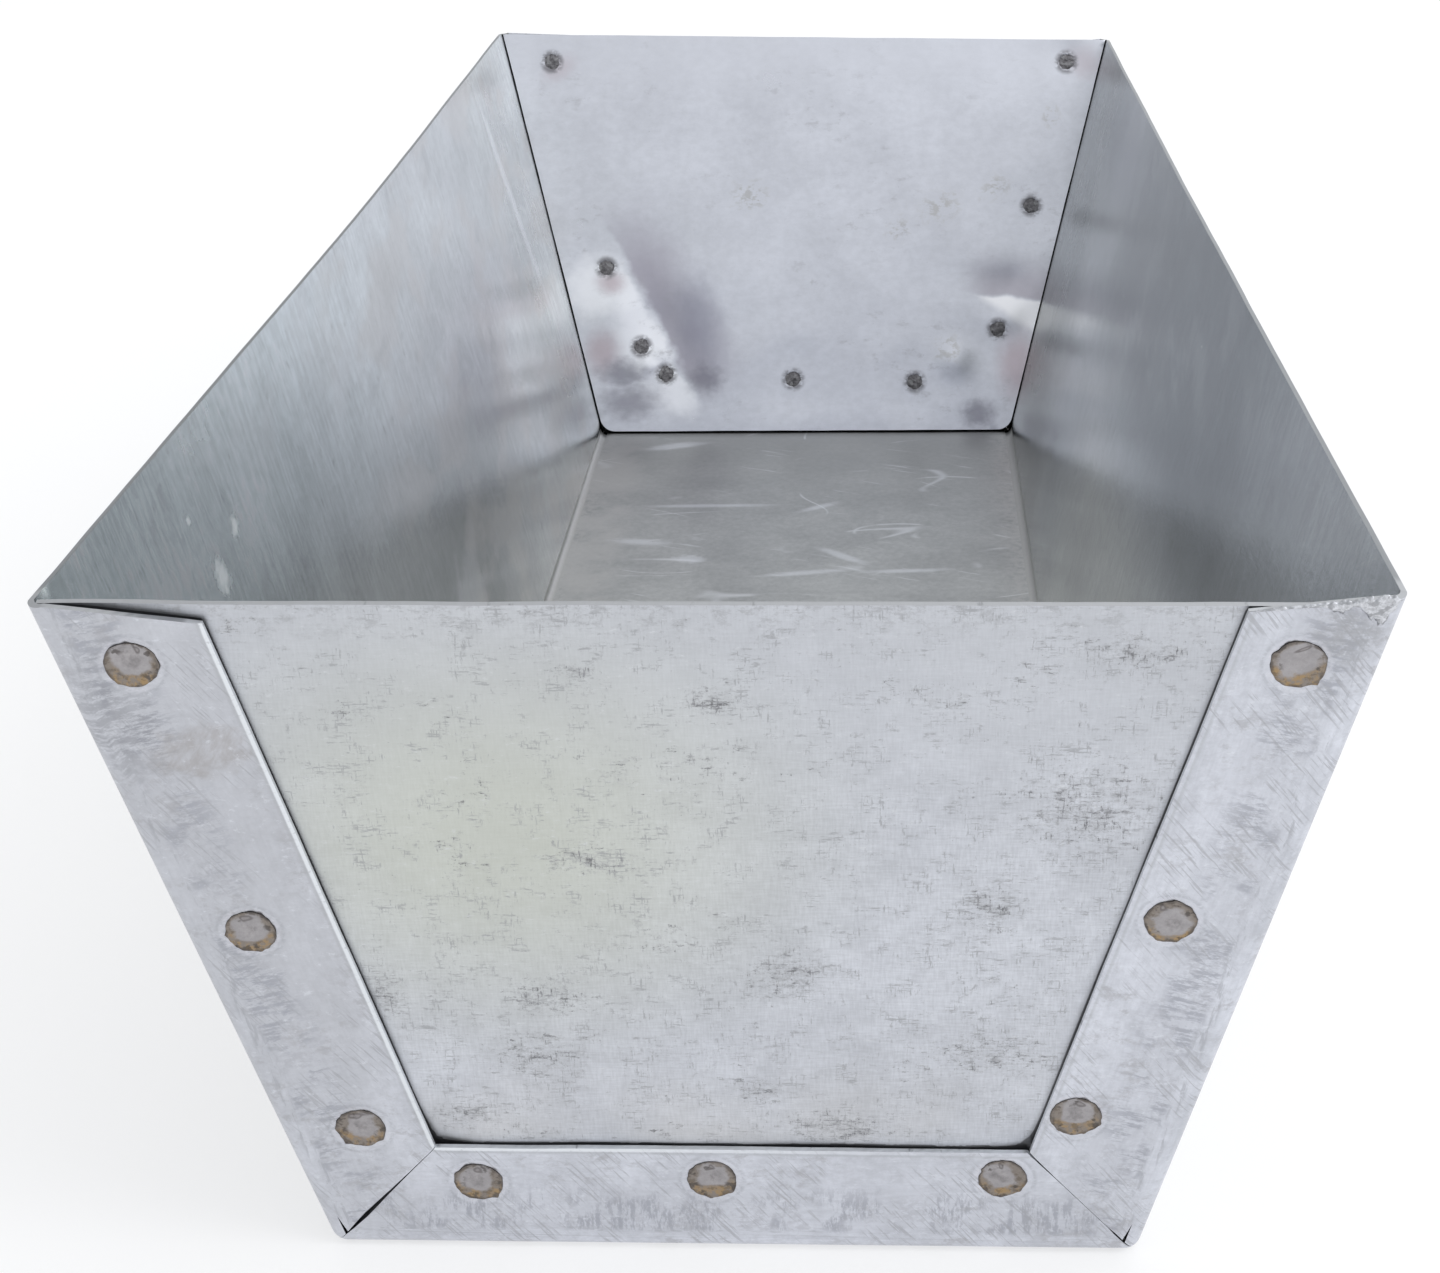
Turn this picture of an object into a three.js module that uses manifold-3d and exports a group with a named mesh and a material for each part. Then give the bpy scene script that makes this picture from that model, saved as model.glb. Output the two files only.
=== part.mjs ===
// A small livestock trough in galvanised sheet steel, in millimetres, +Z up.
//
// One sheet is folded into the floor and both long sides. At each end it is folded again, into three
// flanges that lie on the outside of a flat end panel: one up each side and one along the bottom. The
// flanges meet in mitres at the bottom corners. Nine spot welds hold each panel to its flanges.
//
// The origin is on the ground under the middle of the trough. The length runs along Y, with the front
// end at -Y, and every wall leans out by the same slope.

import * as THREE from "three";
import { ConvexGeometry } from "three/addons/geometries/ConvexGeometry.js";
import { mergeVertices } from "three/addons/utils/BufferGeometryUtils.js";
import Module from "manifold-3d";

// ---- Driving dimensions ----

const FLOOR_WIDTH = 136;
const FLOOR_LENGTH = 496;
const HEIGHT = 128;
const SLOPE = 0.25; // how far a wall leans out for each millimetre that it rises

const SHEET = 1; // thickness of all the sheet
const BEND_RADIUS = 3; // outer radius of every fold
const CLEARANCE = 0.3; // air between a panel, its flanges and the welds

const FLANGE_WIDTH = 24; // from the fold to the cut edge
const FLANGE_TRIM = 3; // how far the left flange's top has dropped at its cut edge
const MITRE_GAP = 0.8; // width of the slit between two flanges
const MITRE_DEPTH = 3.2; // how far the slit runs in behind the outer face, through the fold

const PANEL_GAP = 1.4; // from a panel's cut edges to the sides and the floor, clear of the folds
const PANEL_CORNER = 5; // radius of the panel's two bottom corners

const WELD_RADIUS = 4; // the electrode's mark on the flange
const NUGGET_RADIUS = 2.5; // the mark on the inside of the panel
const WELD_SINK = 0.2; // how far a mark lies below the sheet around it
const WELD_DISH = 0.15; // how much deeper the middle of the outer mark is

// Where the welds are. The side flanges' welds are [distance in from the fold, height up the end], top
// one first, and the bottom flange's are [distance right of the middle, height up the end]. Left and
// right are as seen from outside that end.
const WELDS = {
  front: {
    left: [[12, 120], [11, 69], [14, 27]],
    bottom: [[-42, 15], [-3, 16], [45, 17]],
    right: [[12, 120], [16, 72], [19, 31]],
  },
  rear: {
    left: [[12, 120], [12, 74], [13, 34]],
    bottom: [[-36, 17], [4, 18], [46, 20]],
    right: [[15, 122], [16, 55], [21, 29]],
  },
};
const WELD_NAMES = {
  left: ["upper", "middle", "lower"],
  bottom: ["left", "centre", "right"],
  right: ["upper", "middle", "lower"],
};

const BEND_STEPS = 4;
const ROUND_STEPS = 16; // around a weld or its hole
const BEYOND = 10; // how far a cutting tool reaches past what it cuts

// ---- Worked out from them ----

const LEAN = Math.atan(SLOPE);
const PER_RISE = 1 / Math.cos(LEAN); // level distance for each millimetre square to a wall
const SLANT = HEIGHT * PER_RISE; // height of an end, measured up its slope
const PANEL_BACK = SHEET + CLEARANCE; // depth of the panel's outer face behind the flanges'
const INNER_RADIUS = BEND_RADIUS - SHEET;

// Half the width of an end's outer face at a height up its slope.
const halfWidth = (up) => FLOOR_WIDTH / 2 + SLOPE * up * Math.cos(LEAN);
// Level distance across a side flange for a distance square to its fold.
const FLANGE_LEVEL = FLANGE_WIDTH * Math.hypot(1, SLOPE * Math.cos(LEAN));

// ---- Joining and cutting ----

const wasm = await Module();
wasm.setup();

// A closed geometry as a solid that can be joined and cut.
function solid(geometry, matrix = new THREE.Matrix4()) {
  const bare = geometry.clone().applyMatrix4(matrix);
  bare.deleteAttribute("normal");
  bare.deleteAttribute("uv");
  const merged = mergeVertices(bare, 1e-4);
  return new wasm.Manifold(
    new wasm.Mesh({
      numProp: 3,
      vertProperties: merged.attributes.position.array,
      triVerts: new Uint32Array(merged.index.array),
    }),
  );
}

function geometryOf(manifold) {
  const mesh = manifold.getMesh();
  const geometry = new THREE.BufferGeometry();
  geometry.setAttribute("position", new THREE.BufferAttribute(mesh.vertProperties, mesh.numProp));
  geometry.setIndex(new THREE.BufferAttribute(mesh.triVerts, 1));
  const flat = geometry.toNonIndexed();
  flat.computeVertexNormals();
  return flat;
}

// ---- The frame of an end ----

// X runs right along the bottom edge, Y runs up the slope and Z points outwards, with the origin in the
// middle of the bottom edge of the end's outer face. All seen from outside that end.
function endFrame(end) {
  const tilt = new THREE.Matrix4().makeRotationX(Math.PI / 2 + LEAN);
  const place = new THREE.Matrix4().makeTranslation(0, -FLOOR_LENGTH / 2, 0).multiply(tilt);
  const turn = new THREE.Matrix4().makeRotationZ(end === "front" ? 0 : Math.PI);
  return turn.multiply(place);
}

// A flat outline in an end's frame, made solid from one depth to another behind the outer face.
function plate(points, fromDepth, toDepth) {
  const outline = points instanceof THREE.Shape
    ? points
    : new THREE.Shape(points.map(([x, y]) => new THREE.Vector2(x, y)));
  const geometry = new THREE.ExtrudeGeometry(outline, {
    depth: toDepth - fromDepth,
    bevelEnabled: false,
    curveSegments: 5,
  });
  return geometry.translate(0, 0, -toDepth);
}

// ---- The body sheet ----

// The space inside the walls' outer faces, moved in by an inset, with every edge but the top rounded.
function tub(inset, radius) {
  const out = Math.cos(LEAN);
  const down = -Math.sin(LEAN);
  const middle = inset + radius;
  const points = [];
  for (const sx of [-1, 1]) {
    for (const sy of [-1, 1]) {
      const side = new THREE.Vector3(sx * out, 0, down);
      const end = new THREE.Vector3(0, sy * out, down);
      const below = new THREE.Vector3(0, 0, -1);
      for (const z of [middle, HEIGHT + BEYOND]) {
        const reach = SLOPE * z - middle * PER_RISE;
        const centre = new THREE.Vector3(
          sx * (FLOOR_WIDTH / 2 + reach),
          sy * (FLOOR_LENGTH / 2 + reach),
          z,
        );
        for (let i = 0; i <= BEND_STEPS; i++) {
          for (let j = 0; i + j <= BEND_STEPS; j++) {
            if (z > middle && i + j < BEND_STEPS) continue; // the walls have no fold at the top
            const normal = side.clone().multiplyScalar(i).addScaledVector(end, j);
            normal.addScaledVector(below, BEND_STEPS - i - j).normalize();
            points.push(centre.clone().addScaledVector(normal, radius));
          }
        }
      }
    }
  }
  return solid(new ConvexGeometry(points));
}

// What is open inside the flanges of an end, wide open at the rim.
function flangeWindow() {
  const edge = (up) => halfWidth(up) - FLANGE_LEVEL;
  const top = SLANT + BEYOND;
  const outline = [
    [-edge(FLANGE_WIDTH), FLANGE_WIDTH],
    [edge(FLANGE_WIDTH), FLANGE_WIDTH],
    [edge(top), top],
    [-edge(top), top],
  ];
  return plate(outline, -BEYOND, MITRE_DEPTH + SHEET);
}

// The slope cut off the top of the left flange.
function flangeTrim() {
  const fold = -halfWidth(SLANT) + BEND_RADIUS;
  const edge = -halfWidth(SLANT) + FLANGE_LEVEL;
  const outline = [
    [fold, SLANT],
    [edge + BEYOND, SLANT - FLANGE_TRIM * (1 + BEYOND / (edge - fold))],
    [edge + BEYOND, SLANT + BEYOND],
    [fold, SLANT + BEYOND],
  ];
  return plate(outline, -BEYOND, SHEET + CLEARANCE / 2);
}

// The slit between a side flange and the bottom flange, from the window out past the corner.
function mitreSlit(side) {
  const inner = new THREE.Vector2(side * (halfWidth(FLANGE_WIDTH) - FLANGE_LEVEL), FLANGE_WIDTH);
  const corner = new THREE.Vector2(side * halfWidth(0), 0);
  const along = corner.clone().sub(inner).normalize();
  const across = new THREE.Vector2(-along.y, along.x).multiplyScalar(MITRE_GAP / 2);
  const start = inner.clone().addScaledVector(along, -1);
  const stop = corner.clone().addScaledVector(along, BEYOND);
  const outline = [
    start.clone().sub(across),
    stop.clone().sub(across),
    stop.clone().add(across),
    start.clone().add(across),
  ].map((p) => [p.x, p.y]);
  return plate(side > 0 ? outline : outline.reverse(), -BEYOND, MITRE_DEPTH);
}

// Every weld of an end as { name, x, y } in that end's frame.
function weldPlaces(end) {
  const places = [];
  for (const [flange, spots] of Object.entries(WELDS[end])) {
    spots.forEach(([across, up], i) => {
      const x = {
        left: -halfWidth(up) + across,
        bottom: across,
        right: halfWidth(up) - across,
      }[flange];
      places.push({ name: `spot_weld_${end}_${flange}_${WELD_NAMES[flange][i]}`, x, y: up });
    });
  }
  return places;
}

// A round tool square to an end, for the holes that the welds fill.
function weldHole(place, radius, fromDepth, toDepth) {
  const geometry = new THREE.CylinderGeometry(radius, radius, toDepth - fromDepth, ROUND_STEPS);
  geometry.rotateX(Math.PI / 2);
  return geometry.translate(place.x, place.y, -(fromDepth + toDepth) / 2);
}

function bodySheet() {
  let sheet = tub(0, BEND_RADIUS).subtract(tub(SHEET, INNER_RADIUS));
  const aboveRim = new THREE.BoxGeometry(2 * FLOOR_WIDTH, 2 * FLOOR_LENGTH, 2 * BEYOND);
  sheet = sheet.subtract(solid(aboveRim.translate(0, 0, HEIGHT + BEYOND)));
  for (const end of ["front", "rear"]) {
    const frame = endFrame(end);
    const tools = [flangeWindow(), flangeTrim(), mitreSlit(-1), mitreSlit(1)];
    for (const place of weldPlaces(end)) {
      tools.push(weldHole(place, WELD_RADIUS + CLEARANCE, -SHEET, SHEET + CLEARANCE));
    }
    for (const tool of tools) sheet = sheet.subtract(solid(tool, frame));
  }
  return geometryOf(sheet);
}

// ---- The end panels ----

// In its end's frame: a flat sheet behind the flanges, with its two bottom corners rounded.
function endPanel(end) {
  // The sides' inner faces, where they cross the panel, are this much nearer than the outer edge.
  const inset = SHEET * PER_RISE + PANEL_GAP;
  const bottom = (SHEET + PANEL_GAP) * PER_RISE - PANEL_BACK * SLOPE;
  const top = SLANT - (PANEL_BACK + SHEET) * SLOPE;
  const half = (up) => halfWidth(up) - inset + PANEL_BACK * Math.sin(LEAN) * SLOPE;
  const wallTurn = Math.PI / 2 - Math.atan(SLOPE * Math.cos(LEAN)); // from the floor up to a side
  const setBack = PANEL_CORNER * Math.tan(wallTurn / 2);
  const arcX = half(bottom) - setBack;
  const arcY = bottom + PANEL_CORNER;
  const outline = new THREE.Shape();
  outline.absarc(-arcX, arcY, PANEL_CORNER, -Math.PI / 2 - wallTurn, -Math.PI / 2, false);
  outline.absarc(arcX, arcY, PANEL_CORNER, -Math.PI / 2, -Math.PI / 2 + wallTurn, false);
  outline.lineTo(half(top), top);
  outline.lineTo(-half(top), top);
  outline.closePath();
  let panel = solid(plate(outline, PANEL_BACK, PANEL_BACK + SHEET));
  for (const place of weldPlaces(end)) {
    const hole = weldHole(place, NUGGET_RADIUS + CLEARANCE, 0, PANEL_BACK + 2 * SHEET);
    panel = panel.subtract(solid(hole));
  }
  return geometryOf(panel);
}

// ---- The spot welds ----

// A dished disc in the flange, on a narrower nugget that goes through the panel. Z = 0 is the flange's
// outer face.
function spotWeld() {
  const back = -(PANEL_BACK + SHEET) + WELD_SINK;
  const profile = [
    [0, -WELD_SINK - WELD_DISH],
    [WELD_RADIUS * 0.75, -WELD_SINK - WELD_DISH],
    [WELD_RADIUS, -WELD_SINK],
    [WELD_RADIUS, -SHEET],
    [NUGGET_RADIUS, -SHEET],
    [NUGGET_RADIUS, back],
    [0, back],
  ].reverse();
  const points = profile.map(([radius, z]) => new THREE.Vector2(radius, z));
  return new THREE.LatheGeometry(points, ROUND_STEPS).rotateX(Math.PI / 2);
}

// ---- The assembly ----

const zinc = (name, color, roughness) =>
  new THREE.MeshStandardMaterial({ name, color, roughness, metalness: 0.9 });
const MATERIALS = {
  body: zinc("body_zinc", 0xb9c0c6, 0.42),
  panel: zinc("panel_zinc", 0xcdd2d8, 0.5),
  weld: zinc("weld_mark", 0x8f857b, 0.6),
};

const trough = new THREE.Group();

function addMesh(name, geometry, material, parent = trough) {
  const mesh = new THREE.Mesh(geometry, material);
  mesh.name = name;
  parent.add(mesh);
}

addMesh("body_sheet", bodySheet(), MATERIALS.body);
for (const end of ["front", "rear"]) {
  const group = new THREE.Group();
  group.applyMatrix4(endFrame(end));
  trough.add(group);
  addMesh(`${end}_end_panel`, endPanel(end), MATERIALS.panel, group);
  for (const place of weldPlaces(end)) {
    const weld = spotWeld().translate(place.x, place.y, 0);
    addMesh(place.name, weld, MATERIALS.weld, group);
  }
}

export default trough;
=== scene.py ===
"""A small livestock trough in bare galvanised sheet steel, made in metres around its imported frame.

One folded body sheet, two flat end panels behind its flanges, and nine spot welds at each end. An end is
worked out on its own slanting plane: x across it, up the slope from the ground, and depth in from the
outer face of the flanges.
"""

import math
import random
from functools import reduce
from itertools import product

import bmesh
import bpy
import numpy as np
from mathutils import Matrix, Vector, noise
from mathutils.geometry import delaunay_2d_cdt


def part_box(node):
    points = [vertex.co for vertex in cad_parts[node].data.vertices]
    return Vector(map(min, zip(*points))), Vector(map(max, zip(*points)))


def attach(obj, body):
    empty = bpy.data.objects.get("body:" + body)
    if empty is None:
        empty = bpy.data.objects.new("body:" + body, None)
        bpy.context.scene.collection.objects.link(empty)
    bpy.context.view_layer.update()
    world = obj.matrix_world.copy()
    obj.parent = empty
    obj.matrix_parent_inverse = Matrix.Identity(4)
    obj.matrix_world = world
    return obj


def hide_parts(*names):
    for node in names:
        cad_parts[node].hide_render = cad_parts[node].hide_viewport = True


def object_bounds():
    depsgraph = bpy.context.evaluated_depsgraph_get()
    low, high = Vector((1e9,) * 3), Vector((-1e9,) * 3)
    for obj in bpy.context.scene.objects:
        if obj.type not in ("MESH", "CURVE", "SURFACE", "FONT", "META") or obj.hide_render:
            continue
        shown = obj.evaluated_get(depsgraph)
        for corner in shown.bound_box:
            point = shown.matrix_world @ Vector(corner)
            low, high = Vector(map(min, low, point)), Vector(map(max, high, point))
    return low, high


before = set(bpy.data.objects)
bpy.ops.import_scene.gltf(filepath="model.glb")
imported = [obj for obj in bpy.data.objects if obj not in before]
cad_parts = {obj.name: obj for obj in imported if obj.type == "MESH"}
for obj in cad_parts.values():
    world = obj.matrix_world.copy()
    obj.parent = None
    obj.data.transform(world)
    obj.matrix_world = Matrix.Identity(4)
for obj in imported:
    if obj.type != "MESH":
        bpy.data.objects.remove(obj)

CAD_LOW, CAD_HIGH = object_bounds()
MM = 0.001

# ---- The trough's dimensions, from the frame ----

RIM_WIDTH = CAD_HIGH.x - CAD_LOW.x
RIM_LENGTH = CAD_HIGH.y - CAD_LOW.y
HEIGHT = CAD_HIGH.z - CAD_LOW.z
SLOPE = 0.25
LEAN = math.atan(SLOPE)
COS, SIN = math.cos(LEAN), math.sin(LEAN)
FLOOR_WIDTH = RIM_WIDTH - 2 * SLOPE * HEIGHT
FLOOR_LENGTH = RIM_LENGTH - 2 * SLOPE * HEIGHT

SHEET = 1.0 * MM
BEND = 3.0 * MM  # outer radius of every fold
PANEL_DEPTH = 1.3 * MM  # of a panel's outer face, behind the flanges' outer face
PANEL_GAP = 0.3 * MM  # from a panel's edges to the sides and the floor
PANEL_CORNER = 5.0 * MM
PANEL_DROP = 1.6 * MM  # of the front panel's top edge below the rim at its right end

# How far the rim has dropped below its full height at each corner: (side, end) with the front at -1.
RIM_DROP = {(-1, -1): 1.5 * MM, (1, -1): 0.4 * MM, (-1, 1): 0.1 * MM, (1, 1): 4.3 * MM}
SIDE_BOW = {-1: 2.2 * MM, 1: 0.4 * MM}  # how far each side's rim leans in at mid-length

# Flange outlines by end and side: level width at the top and at the mitre, drop of the top edge at the
# cut edge, and half the mitre's gap at places from its inner end, 0, to the fold, 1.
FLANGES = {
    (-1, -1): dict(top=25.2 * MM, low=24.8 * MM, trim=3.2 * MM,
                   gap=[(0, 0.05), (0.25, 0.07), (0.5, 0.20), (0.76, 0.42), (0.92, 0.22), (1, 0.05)]),
    (1, -1): dict(top=23.4 * MM, low=24.4 * MM, trim=0.5 * MM,
                  gap=[(0, 0.35), (0.10, 0.17), (0.35, 0.05), (0.80, 0.04), (0.9, 0.12), (1, 0.03)]),
    (1, 1): dict(top=25.0 * MM, low=24.6 * MM, trim=3.0 * MM,
                 gap=[(0, 0.12), (0.3, 0.10), (0.6, 0.22), (0.8, 0.30), (1, 0.03)]),
    (-1, 1): dict(top=21.9 * MM, low=24.3 * MM, trim=2.2 * MM,
                  gap=[(0, 0.22), (0.10, 0.12), (0.35, 0.04), (0.82, 0.03), (0.90, 0.16), (1, 0.12)]),
}
FLANGE_LOW = {-1: 22.6 * MM, 1: 23.6 * MM}  # height of the bottom flange's cut edge

SIDES = ENDS = (-1, 1)
END_NAMES = {-1: "front", 1: "rear"}
SIDE_NORMAL = {s: Vector((s * COS, 0, -SIN)) for s in SIDES}
END_NORMAL = {e: Vector((0, e * COS, -SIN)) for e in ENDS}
DOWN = Vector((0, 0, -1))


def mix(a, b, t):
    return a + (b - a) * t


def smooth(t):
    t = min(max(t, 0.0), 1.0)
    return t * t * (3 - 2 * t)


def wave(x, y, scale, seed=0.0):
    """Smooth noise between about -1 and 1 that repeats nowhere, with features about one scale wide."""
    return noise.noise(Vector((x / scale, y / scale, seed)))


def half_width(up):
    """Half the width of an end's outer face at a height up its slope."""
    return FLOOR_WIDTH / 2 + SIN * up


def rim_height(x, y):
    """The rim's height above the ground at a place along it."""
    across = min(max(x / RIM_WIDTH + 0.5, 0), 1)
    along = min(max(y / RIM_LENGTH + 0.5, 0), 1)
    front = mix(RIM_DROP[-1, -1], RIM_DROP[1, -1], across)
    rear = mix(RIM_DROP[-1, 1], RIM_DROP[1, 1], across)
    return HEIGHT - SHEET * SIN - mix(front, rear, along)


# ---- Dents and waves in the sheet ----

# Around each end's panel: (x, up, radius across, radius up, turn, depth), pushed out where depth is
# positive. They move the flanges, the panel and the welds of that end together.
DENTS = {
    -1: [
        (-10, 60, 70, 45, 0, -0.35),
        (45, 95, 30, 22, 20, 0.18),
    ],
    1: [
        (-48, 37, 7, 15, 25, 0.6),
        (-60, 40, 9, 14, 10, -0.4),
        (-60, 14, 10, 6, 0, 0.25),
        (68, 49, 14, 5, -5, 0.55),
        (70, 37, 13, 5, -5, -0.45),
        (0, 70, 70, 45, 0, 0.3),
    ],
}


def end_offset(end, x, up):
    """How far the sheets of an end stand out from its plane, in metres."""
    total = 0.12 * MM * wave(x, up, 38 * MM, 3.1 * end) + 0.03 * MM * wave(x, up, 11 * MM, 5.3 * end)
    for dx, dup, wide, tall, turn, depth in DENTS[end]:
        a = math.radians(turn)
        rx, ry = x / MM - dx, up / MM - dup
        px = (rx * math.cos(a) + ry * math.sin(a)) / wide
        py = (ry * math.cos(a) - rx * math.sin(a)) / tall
        total += depth * MM * math.exp(-(px * px + py * py))
    to_fold = min(half_width(up) - abs(x), up)
    return total * smooth((to_fold - BEND) / (9 * MM))


def end_point(end, x, up, depth=0.0):
    """A place on an end, with the end's dents."""
    depth = depth - end_offset(end, x, up)
    return Vector((x, end * (FLOOR_LENGTH / 2 + SIN * up - COS * depth), COS * up + SIN * depth))


def side_offset(side, y, z):
    """How far a side stands out from its plane."""
    along = math.cos(math.pi * y / RIM_LENGTH) ** 2 if abs(y) < RIM_LENGTH / 2 else 0.0
    rise = z / HEIGHT
    bow = -SIDE_BOW[side] * along * rise ** 1.5
    ripple = 0.25 * MM * wave(y, z, 60 * MM, 7.7 * side) + 0.07 * MM * wave(y, z, 18 * MM, 9.1 * side)
    ripple -= 0.2 * MM
    to_fold = min(z, FLOOR_LENGTH / 2 + SLOPE * z - abs(y))
    return bow + ripple * smooth((to_fold - BEND) / (14 * MM))


def floor_offset(x, y):
    """How far the floor has risen above the ground."""
    rise = 0.25 * MM + 0.25 * MM * wave(x, y, 70 * MM, 2.2) + 0.05 * MM * wave(x, y, 22 * MM, 4.4)
    to_fold = min(FLOOR_WIDTH / 2 - abs(x), FLOOR_LENGTH / 2 - abs(y))
    return rise * smooth((to_fold - BEND) / (14 * MM))


# ---- Sheets as surfaces with thickness ----


class Surface:
    """The outer skin of a sheet: places with outward normals, and faces that turn left around them."""

    def __init__(self):
        self.places, self.normals, self.marks = [], [], []
        self.faces, self.regions = [], []

    def add(self, place, normal, mark):
        """mark is how many millimetres from an end's fold, along it, from a weld and from a cut edge."""
        self.places.append(Vector(place))
        self.normals.append(Vector(normal))
        self.marks.append(mark)
        return len(self.places) - 1

    def face(self, corners, region):
        self.faces.append(list(corners))
        self.regions.append(region)

    def grid(self, rows, region):
        """Faces between rows of indices."""
        for low, high in zip(rows, rows[1:]):
            for i in range(len(low) - 1):
                self.face([low[i], low[i + 1], high[i + 1], high[i]], region)

    def orient(self):
        """Turns each face so that it runs left around the outward normal."""
        for corners in self.faces:
            around = Vector()
            for a, b in zip(corners, corners[1:] + corners[:1]):
                around += self.places[a].cross(self.places[b])
            outward = sum((self.normals[c] for c in corners), Vector())
            if around.dot(outward) < 0:
                corners.reverse()

    def merge(self, distance=2e-6):
        """Makes one of every two places that coincide."""
        keys, first = {}, []
        for i, p in enumerate(self.places):
            cell = [round(c / distance) for c in p]
            cells = [tuple(c + s for c, s in zip(cell, shift)) for shift in product((0, -1, 1), repeat=3)]
            matches = [keys[c] for c in cells if c in keys]
            if not matches:
                keys[tuple(cell)] = i
            first.append(matches[-1] if matches else i)
        faces = [list(dict.fromkeys(first[c] for c in face)) for face in self.faces]
        kept = [(face, region) for face, region in zip(faces, self.regions) if len(face) > 2]
        used = sorted({c for face, _ in kept for c in face})
        new = {old: i for i, old in enumerate(used)}
        self.faces = [[new[c] for c in face] for face, _ in kept]
        self.regions = [region for _, region in kept]
        self.places = [self.places[i] for i in used]
        self.normals = [self.normals[i] for i in used]
        self.marks = [self.marks[i] for i in used]


def made_piece(bm, name, materials, sharp_angle=None):
    """An object from a finished bmesh, shaded smooth."""
    for f in bm.faces:
        f.smooth = True
    mesh = bpy.data.meshes.new(name)
    bm.to_mesh(mesh)
    bm.free()
    for material in materials:
        mesh.materials.append(material)
    if sharp_angle:
        mesh.set_sharp_from_angle(angle=math.radians(sharp_angle))
    piece = bpy.data.objects.new(name, mesh)
    bpy.context.scene.collection.objects.link(piece)
    return piece


def thick_mesh(name, surface, thickness, materials, edge_material, back_materials, round_edge):
    """A closed mesh of a surface: its outer skin, the skin one thickness behind it and the cut edges."""
    count = len(surface.places)
    slots = list(dict.fromkeys([*materials.values(), *back_materials.values(), edge_material]))
    bm = bmesh.new()
    layers = [bm.verts.layers.float.new(kind) for kind in ("fold", "along", "near", "cut")]
    verts = [bm.verts.new(p) for p in surface.places]
    verts += [bm.verts.new(p - n * thickness) for p, n in zip(surface.places, surface.normals)]
    for i, vert in enumerate(verts):
        for layer, value in zip(layers, surface.marks[i % count]):
            vert[layer] = value
    edges = {}
    for corners, region in zip(surface.faces, surface.regions):
        front = bm.faces.new([verts[c] for c in corners])
        front.material_index = slots.index(materials[region])
        back = bm.faces.new([verts[c + count] for c in reversed(corners)])
        back.material_index = slots.index(back_materials[region])
        for a, b in zip(corners, corners[1:] + corners[:1]):
            edges[a, b] = True
    sharp = []
    for a, b in edges:
        if (b, a) in edges:
            continue
        strip = bm.faces.new([verts[b], verts[a], verts[a + count], verts[b + count]])
        strip.material_index = slots.index(edge_material)
        sharp.append(bm.edges.get((verts[a], verts[b])))
        sharp.append(bm.edges.get((verts[a + count], verts[b + count])))
    shape = dict(offset_type="OFFSET", segments=2, profile=0.5, affect="EDGES", clamp_overlap=True)
    bmesh.ops.bevel(bm, geom=sharp, offset=round_edge, material=slots.index(edge_material), **shape)
    piece = made_piece(bm, name, slots, 50)
    weights = piece.modifiers.new("even_normals", "WEIGHTED_NORMAL")
    weights.keep_sharp = True
    return piece


# ---- Flat outlines filled with triangles ----


def inside(points, outline):
    """Which 2-D points lie inside a closed outline."""
    px, py = points[:, 0], points[:, 1]
    found = np.zeros(len(points), bool)
    for (x0, y0), (x1, y1) in zip(outline, np.roll(outline, -1, axis=0)):
        crosses = (y0 > py) != (y1 > py)
        if not crosses.any():
            continue
        at = x0 + (py - y0) * (x1 - x0) / ((y1 - y0) or 1e-12)
        found ^= crosses & (px < at)
    return found


def distance_to(points, outline):
    """How far 2-D points lie from a closed outline."""
    best = np.full(len(points), np.inf)
    for a, b in zip(outline, np.roll(outline, -1, axis=0)):
        ab = b - a
        t = np.clip(((points - a) @ ab) / max(float(ab @ ab), 1e-18), 0, 1)
        best = np.minimum(best, np.linalg.norm(points - a - t[:, None] * ab, axis=1))
    return best


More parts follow.
